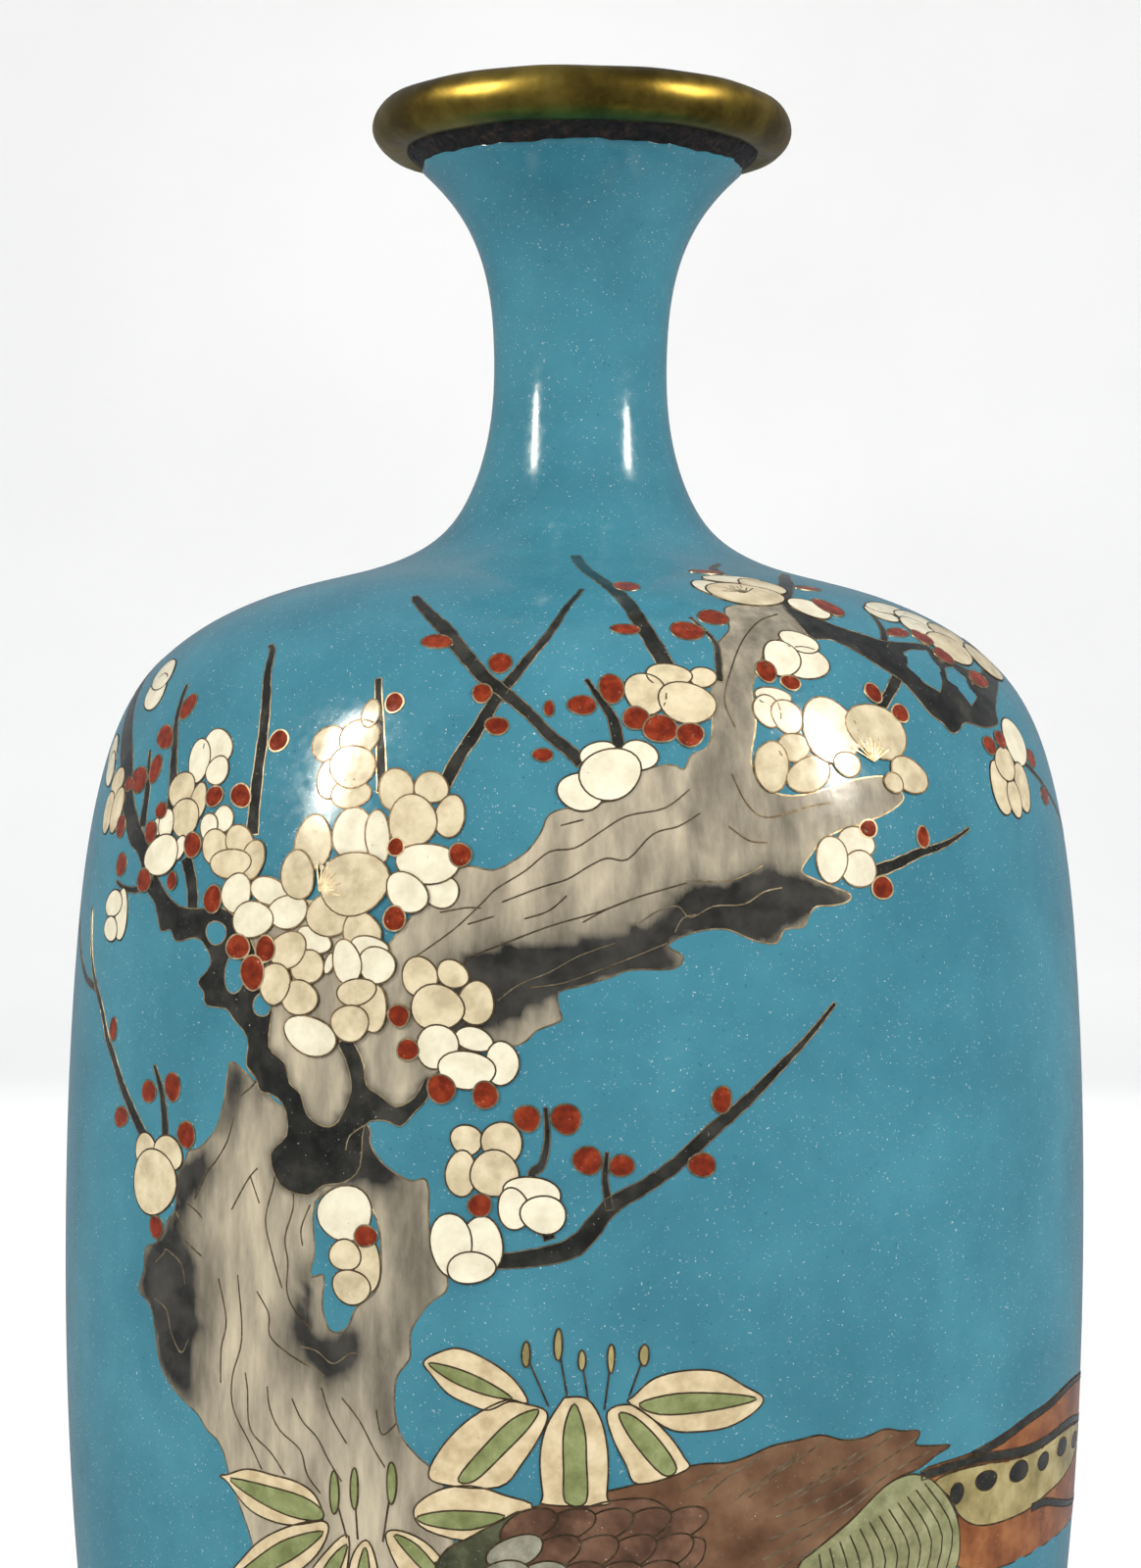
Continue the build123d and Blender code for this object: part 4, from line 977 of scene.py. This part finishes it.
FEATHER_WIRES = [
    [(22.6, -16.1), (18.3, -18.6), (16.1, -20.1)], [(30.1, -16.1), (25.1, -18.6), (20.1, -21.1)],
    [(36.9, -15.8), (33.3, -17.4), (26.9, -20.1), (20.4, -22.2)], [(15.1, -16.9), (13, -17.8), (10.8, -19)],
    [(38.6, -17.4), (33, -19.2), (27, -22), (19.4, -24.4)], [(31.4, -20.6), (26, -23.4), (19, -26.4)],
    [(25.6, -15), (21, -17.4), (17.4, -20)], [(33.6, -15.2), (28, -17.8), (22.6, -20.4)],
    [(19, -15.8), (15, -18), (12.6, -20)],
    [(25, -25.6), (20, -27.6), (14, -29.6)], [(22.4, -28), (17, -30.4), (11, -32)],
    [(20.6, -31), (14, -33), (8, -33.6)],
]
BIRD_LEGS = [
    ([(-1, -37.6), (-2, -41), (-1.4, -44), (-2.6, -48.4)], [1.4, 0.8]),
    ([(7, -37.2), (7.6, -41), (8.6, -44), (8, -48.4)], [1.4, 0.8]),
    ([(-2.6, -48.2), (-6, -48.8)], [0.7, 0.4]), ([(8, -48.2), (4.6, -48.8)], [0.7, 0.4]),
    ([(-2.6, -48.2), (1, -49)], [0.7, 0.4]), ([(8, -48.2), (11.4, -49)], [0.7, 0.4]),
]
MOUND = [
    (-12, -50), (-4, -48.6), (6, -48.2), (16, -48.8), (30, -51), (44, -54.6), (54, -58.6), (40, -60.4),
    (16, -61), (0, -60.4),
    (-14, -57),
]

# ---------------------------------------------------------------- laying the design
# Cells of a higher level lie in front of the lower ones.
# Shadows that the bark's cells take up: outline, how far it fades, and how deep it is.
SHADOWS = [
    (ARM_SHADE, 3.0, 1.0), (TRUNK_SHADE, 3.2, 1.0), (HOLE_SHADE, 2.4, 1.0), (DARK_LEFT, 0.7, 1.0),
    (DARK_RIGHT, 1.5, 1.0), (FORK_SHADE, 4.0, 0.35), (BROW_SHADE, 3.0, 0.42), (CROWN_SHADE, 3.0, 0.6),
    (JOIN_SHADE, 2.4, 0.9),
]
cell(rounded(MOUND, True), "olive", 1, "mound", "gold_wire")
cell(rounded(TRUNK, True, 3), "bark", 1, "trunk", "gold_wire")
cell(rounded(ARM, True, 3), "bark", 1, "arm", "gold_wire")
cell(rounded(POCKET, True), "bark", 3, "arm", "gold_wire")
for order, (path, widths) in enumerate(TWIGS):
    cell(stroke(path, widths), "black", 2 + order % 2, "twigs", "gold_wire", EDGE_WIDTH)
for outline in (DARK_LEFT, DARK_RIGHT):
    cell(rounded(outline, True, 3), "black", 4, "dark_branches", "gold_wire", EDGE_WIDTH)
for outline in WINDOWS:
    cell(rounded(outline, True, 1), "turquoise", 5, "windows", "gold_wire", EDGE_WIDTH)
cell(rounded(TRUNK_HOLE, True, 3), "turquoise", 5, "windows", "gold_wire")
for run in BARK_WIRES:
    in_shade = shadow_share(np.array([run[len(run) // 2]], float), SHADOWS)[0] > 0.5
    kind = "gold_wire" if in_shade else "fine_wire"
    wire(rounded(run, False), False, 4, kind, "bark_wires", EDGE_WIDTH)
for blade, midrib in LEAVES:
    cell(rounded(blade, True), "leaf", 5, "leaf_blades")
    cell(rounded(midrib, True), "green", 6, "leaf_midribs")
for root, tip, half_width, half_height in BRACTS:
    wire([root, tip], False, 6, "fine_wire", "bract_wires")
    kind = "olive" if tip[1] > -10 else "green"
    cell(oval(*tip, 0.7 * half_width, half_height), kind, 7, "bracts")

for outline, kind, level in BIRD:
    cell(rounded(outline, True), kind, level, "bird_" + kind)
for path, widths in BIRD_BANDS:
    cell(stroke(path, widths), "black", 5, "bird_bands")
for spot in TAIL_SPOTS:
    cell(oval(*spot), "black", 4, "bird_spots")
for path, widths in BIRD_LEGS:
    cell(stroke(path, widths), "umber", 3, "bird_legs", "gold_wire")
for run in FEATHER_WIRES:
    wire(rounded(run, False), False, 5, "gold_wire", "feather_wires")
SCALLOP_ROWS = 4
SCALLOPS_IN_ROW = 5
for row in range(SCALLOP_ROWS):
    for place in reversed(range(SCALLOPS_IN_ROW)):
        middle = (-4.4 + 3.7 * place - 1.3 * row, -22.4 - 2.6 * row)
        kind = "umber" if place + 1 > row else "dove"
        cell(oval(*middle, 2.9, 1.5, 24), kind, 11 - place + row, "bird_scallops")
RUMP_WIRES = 12
inner = np.array([(24.5, -26.6), (24.6, -29.5), (23, -33)])
outer = np.array([(38.6, -20.4), (43.2, -26), (41.6, -32)])
for stripe in range(RUMP_WIRES):
    share = (stripe + 0.6) / RUMP_WIRES
    wire(rounded(inner + (outer - inner) * share, False), False, 6, "fine_wire", "rump_wires")
cell(oval(-23.2, -40.4, 0.42, 0.42), "black", 7, "bird_eye", "gold_wire")

PETAL_LEVEL = 6  # the lowest level of petals, buds and stamens
laid = []  # those laid so far, with their levels


def stacked_level(spot, lowest):
    """A level above all laid ones that this one overlaps."""
    level = lowest
    for other, other_level in laid:
        wide = mm_per_degree(spot[1])
        gap = math.hypot((spot[0] - other[0]) * wide, spot[1] - other[1])
        if gap < max(spot[2:4]) + max(other[2:4]) + 0.3:
            level = max(level, other_level + 1)
    laid.append((spot, level))
    return level


for colour, petals in FLOWERS:
    for petal in petals:
        cell(oval(*petal), colour, stacked_level(petal, PETAL_LEVEL), "petals_" + colour)
for bud in BUDS:
    cell(oval(*bud), "red", stacked_level(bud, PETAL_LEVEL), "buds", "gold_wire")
for (angle, tape), first, last in STAMENS:
    level = stacked_level((angle, tape, STAMEN_REACH, STAMEN_REACH), PETAL_LEVEL)
    wide = mm_per_degree(tape)
    for i in range(STAMENS_IN_FAN):
        turn = math.radians(first + (last - first) * i / (STAMENS_IN_FAN - 1))
        reach = STAMEN_REACH - 0.5 * (i % 2)
        tip = (angle + reach * math.cos(turn) / wide, tape + reach * math.sin(turn))
        wire([(angle, tape), tip], False, level, "gold_wire", "stamens", STAMEN_WIDTH)
        fill(oval(*tip, STAMEN_TIP, STAMEN_TIP), "cream", level + 1, "stamen_tips")

# Each sheet becomes one piece; the CAD cells that it stands for are hidden.
CAD_CELLS = {
    "petals_white": "blossom_white", "petals_cream": "blossom_cream", "buds": "bud",
    "leaf_blades": "leaf_blade", "leaf_midribs": "leaf_midrib", "trunk": "trunk",
    "dark_branches": "dark_branch", "twigs": "twig", "bird_forest": "pheasant_neck",
    "bird_brown": "pheasant_back", "bird_sage": "pheasant_rump", "bird_orange": "pheasant_tail",
}
STANDS_FOR = {}
for name, cad_name in CAD_CELLS.items():
    STANDS_FOR[name] = [cad_name + "_enamel"]
    STANDS_FOR[name + "_cloisons"] = [cad_name + "_cloisons"]
names = [name for kind, name in sheets]
for (kind, name), own in sheets.items():
    label = name if names.count(name) == 1 else name + "_" + kind
    piece = finish_piece(label, own.verts, own.faces, own.normals, kind, own.shadow)
    if name in STANDS_FOR:
        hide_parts(*STANDS_FOR[name])

# CAD pieces that show inside the mouth and under the foot keep their own shape.
for node, kind in {
    "copper_body": "copper", "copper_neck": "copper", "neck_solder_seam": "solder",
    "copper_base_plate": "copper",
    "base_solder_seam": "solder", "copper_foot_ring": "copper", "base_counter_enamel": "inside",
    "counter_enamel": "inside",
}.items():
    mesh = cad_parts[node].data
    mesh.materials.clear()
    mesh.materials.append(MATERIALS[kind])

# ---------------------------------------------------------------- floor, light and camera
floor_material, floor_tree, floor_shader = tree_of("pale_floor")
floor_tree.links.new(
    ramp(floor_tree, noise(floor_tree, 3.0), [(0.3, (0.86, 0.86, 0.85)), (0.7, (0.9, 0.9, 0.89))]),
    floor_shader.inputs["Base Color"],
)
floor_shader.inputs["Roughness"].default_value = 0.7
FLOOR_HALF = 3.0
FLOOR_BACK = 1.6
SWEEP_RADIUS = 0.8
SWEEP_STEPS = 12
SWEEP_TOP = 3.0
sweep_rows = [(-FLOOR_HALF, 0.0)]
for i in range(SWEEP_STEPS + 1):
    turn = math.pi / 2 * i / SWEEP_STEPS
    back = FLOOR_BACK + SWEEP_RADIUS * math.sin(turn)
    sweep_rows.append((back, SWEEP_RADIUS - SWEEP_RADIUS * math.cos(turn)))
sweep_rows.append((FLOOR_BACK + SWEEP_RADIUS, SWEEP_TOP))
floor_verts = [(side * FLOOR_HALF, y, z) for y, z in sweep_rows for side in (-1, 1)]
floor_faces = [(2 * i, 2 * i + 1, 2 * i + 3, 2 * i + 2) for i in range(len(sweep_rows) - 1)]
floor_mesh = bpy.data.meshes.new("backdrop")
floor_mesh.from_pydata(floor_verts, [], floor_faces)
floor_mesh.polygons.foreach_set("use_smooth", [True] * len(floor_faces))
floor_mesh.materials.append(floor_material)
backdrop = bpy.data.objects.new("backdrop", floor_mesh)
bpy.context.scene.collection.objects.link(backdrop)
backdrop.visible_glossy = False  # the glaze doesn't mirror the sweep

world = bpy.data.worlds.new("studio")
world.use_nodes = True
world.node_tree.nodes["Background"].inputs["Color"].default_value = (0.8, 0.86, 0.95, 1)
world.node_tree.nodes["Background"].inputs["Strength"].default_value = 0.3
bpy.context.scene.world = world

VASE_MIDDLE = (0.0, 0.0, 0.16)


def soft_light(name, place, width, height, power, colour, mirrored=True, aim=VASE_MIDDLE):
    """A rectangular soft light, aimed at the vase; a fill isn't mirrored in the glaze."""
    lamp = bpy.data.lights.new(name, "AREA")
    lamp.shape = "RECTANGLE"
    lamp.size = width
    lamp.size_y = height
    lamp.energy = power
    lamp.color = colour
    light = bpy.data.objects.new(name, lamp)
    light.location = place
    light.rotation_euler = (Vector(aim) - Vector(place)).to_track_quat("-Z", "Y").to_euler()
    light.visible_glossy = mirrored
    bpy.context.scene.collection.objects.link(light)


soft_light("left_key", (-0.73, -0.42, 0.63), 0.06, 0.4, 8, (1.0, 0.95, 0.82))
soft_light("right_key", (0.76, -0.38, 0.66), 0.07, 0.34, 7, (1.0, 0.94, 0.8))
soft_light("front_fill", (0.7, -1.25, 1.3), 2.0, 1.4, 19, (1.0, 1.0, 1.0), False)
soft_light("ceiling", (0.0, 0.7, 1.7), 1.6, 1.2, 17, (1.0, 1.0, 1.0), False)
soft_light("sweep_wash", (0.0, 0.6, 1.0), 2.4, 0.6, 16, (1.0, 1.0, 1.0), False, (0.0, 2.4, 0.9))

CAMERA_PLACE = Vector((-0.0008, -0.3716, 0.176))
camera_data = bpy.data.cameras.new("camera")
camera_data.sensor_width = 36.0
camera_data.lens = 74.25
camera_data.clip_start = 0.01
camera = bpy.data.objects.new("camera", camera_data)
camera.location = CAMERA_PLACE
camera.rotation_euler = (math.radians(90), math.radians(-0.4), 0)
bpy.context.scene.collection.objects.link(camera)
bpy.context.scene.camera = camera

bpy.context.scene.view_settings.view_transform = "Standard"
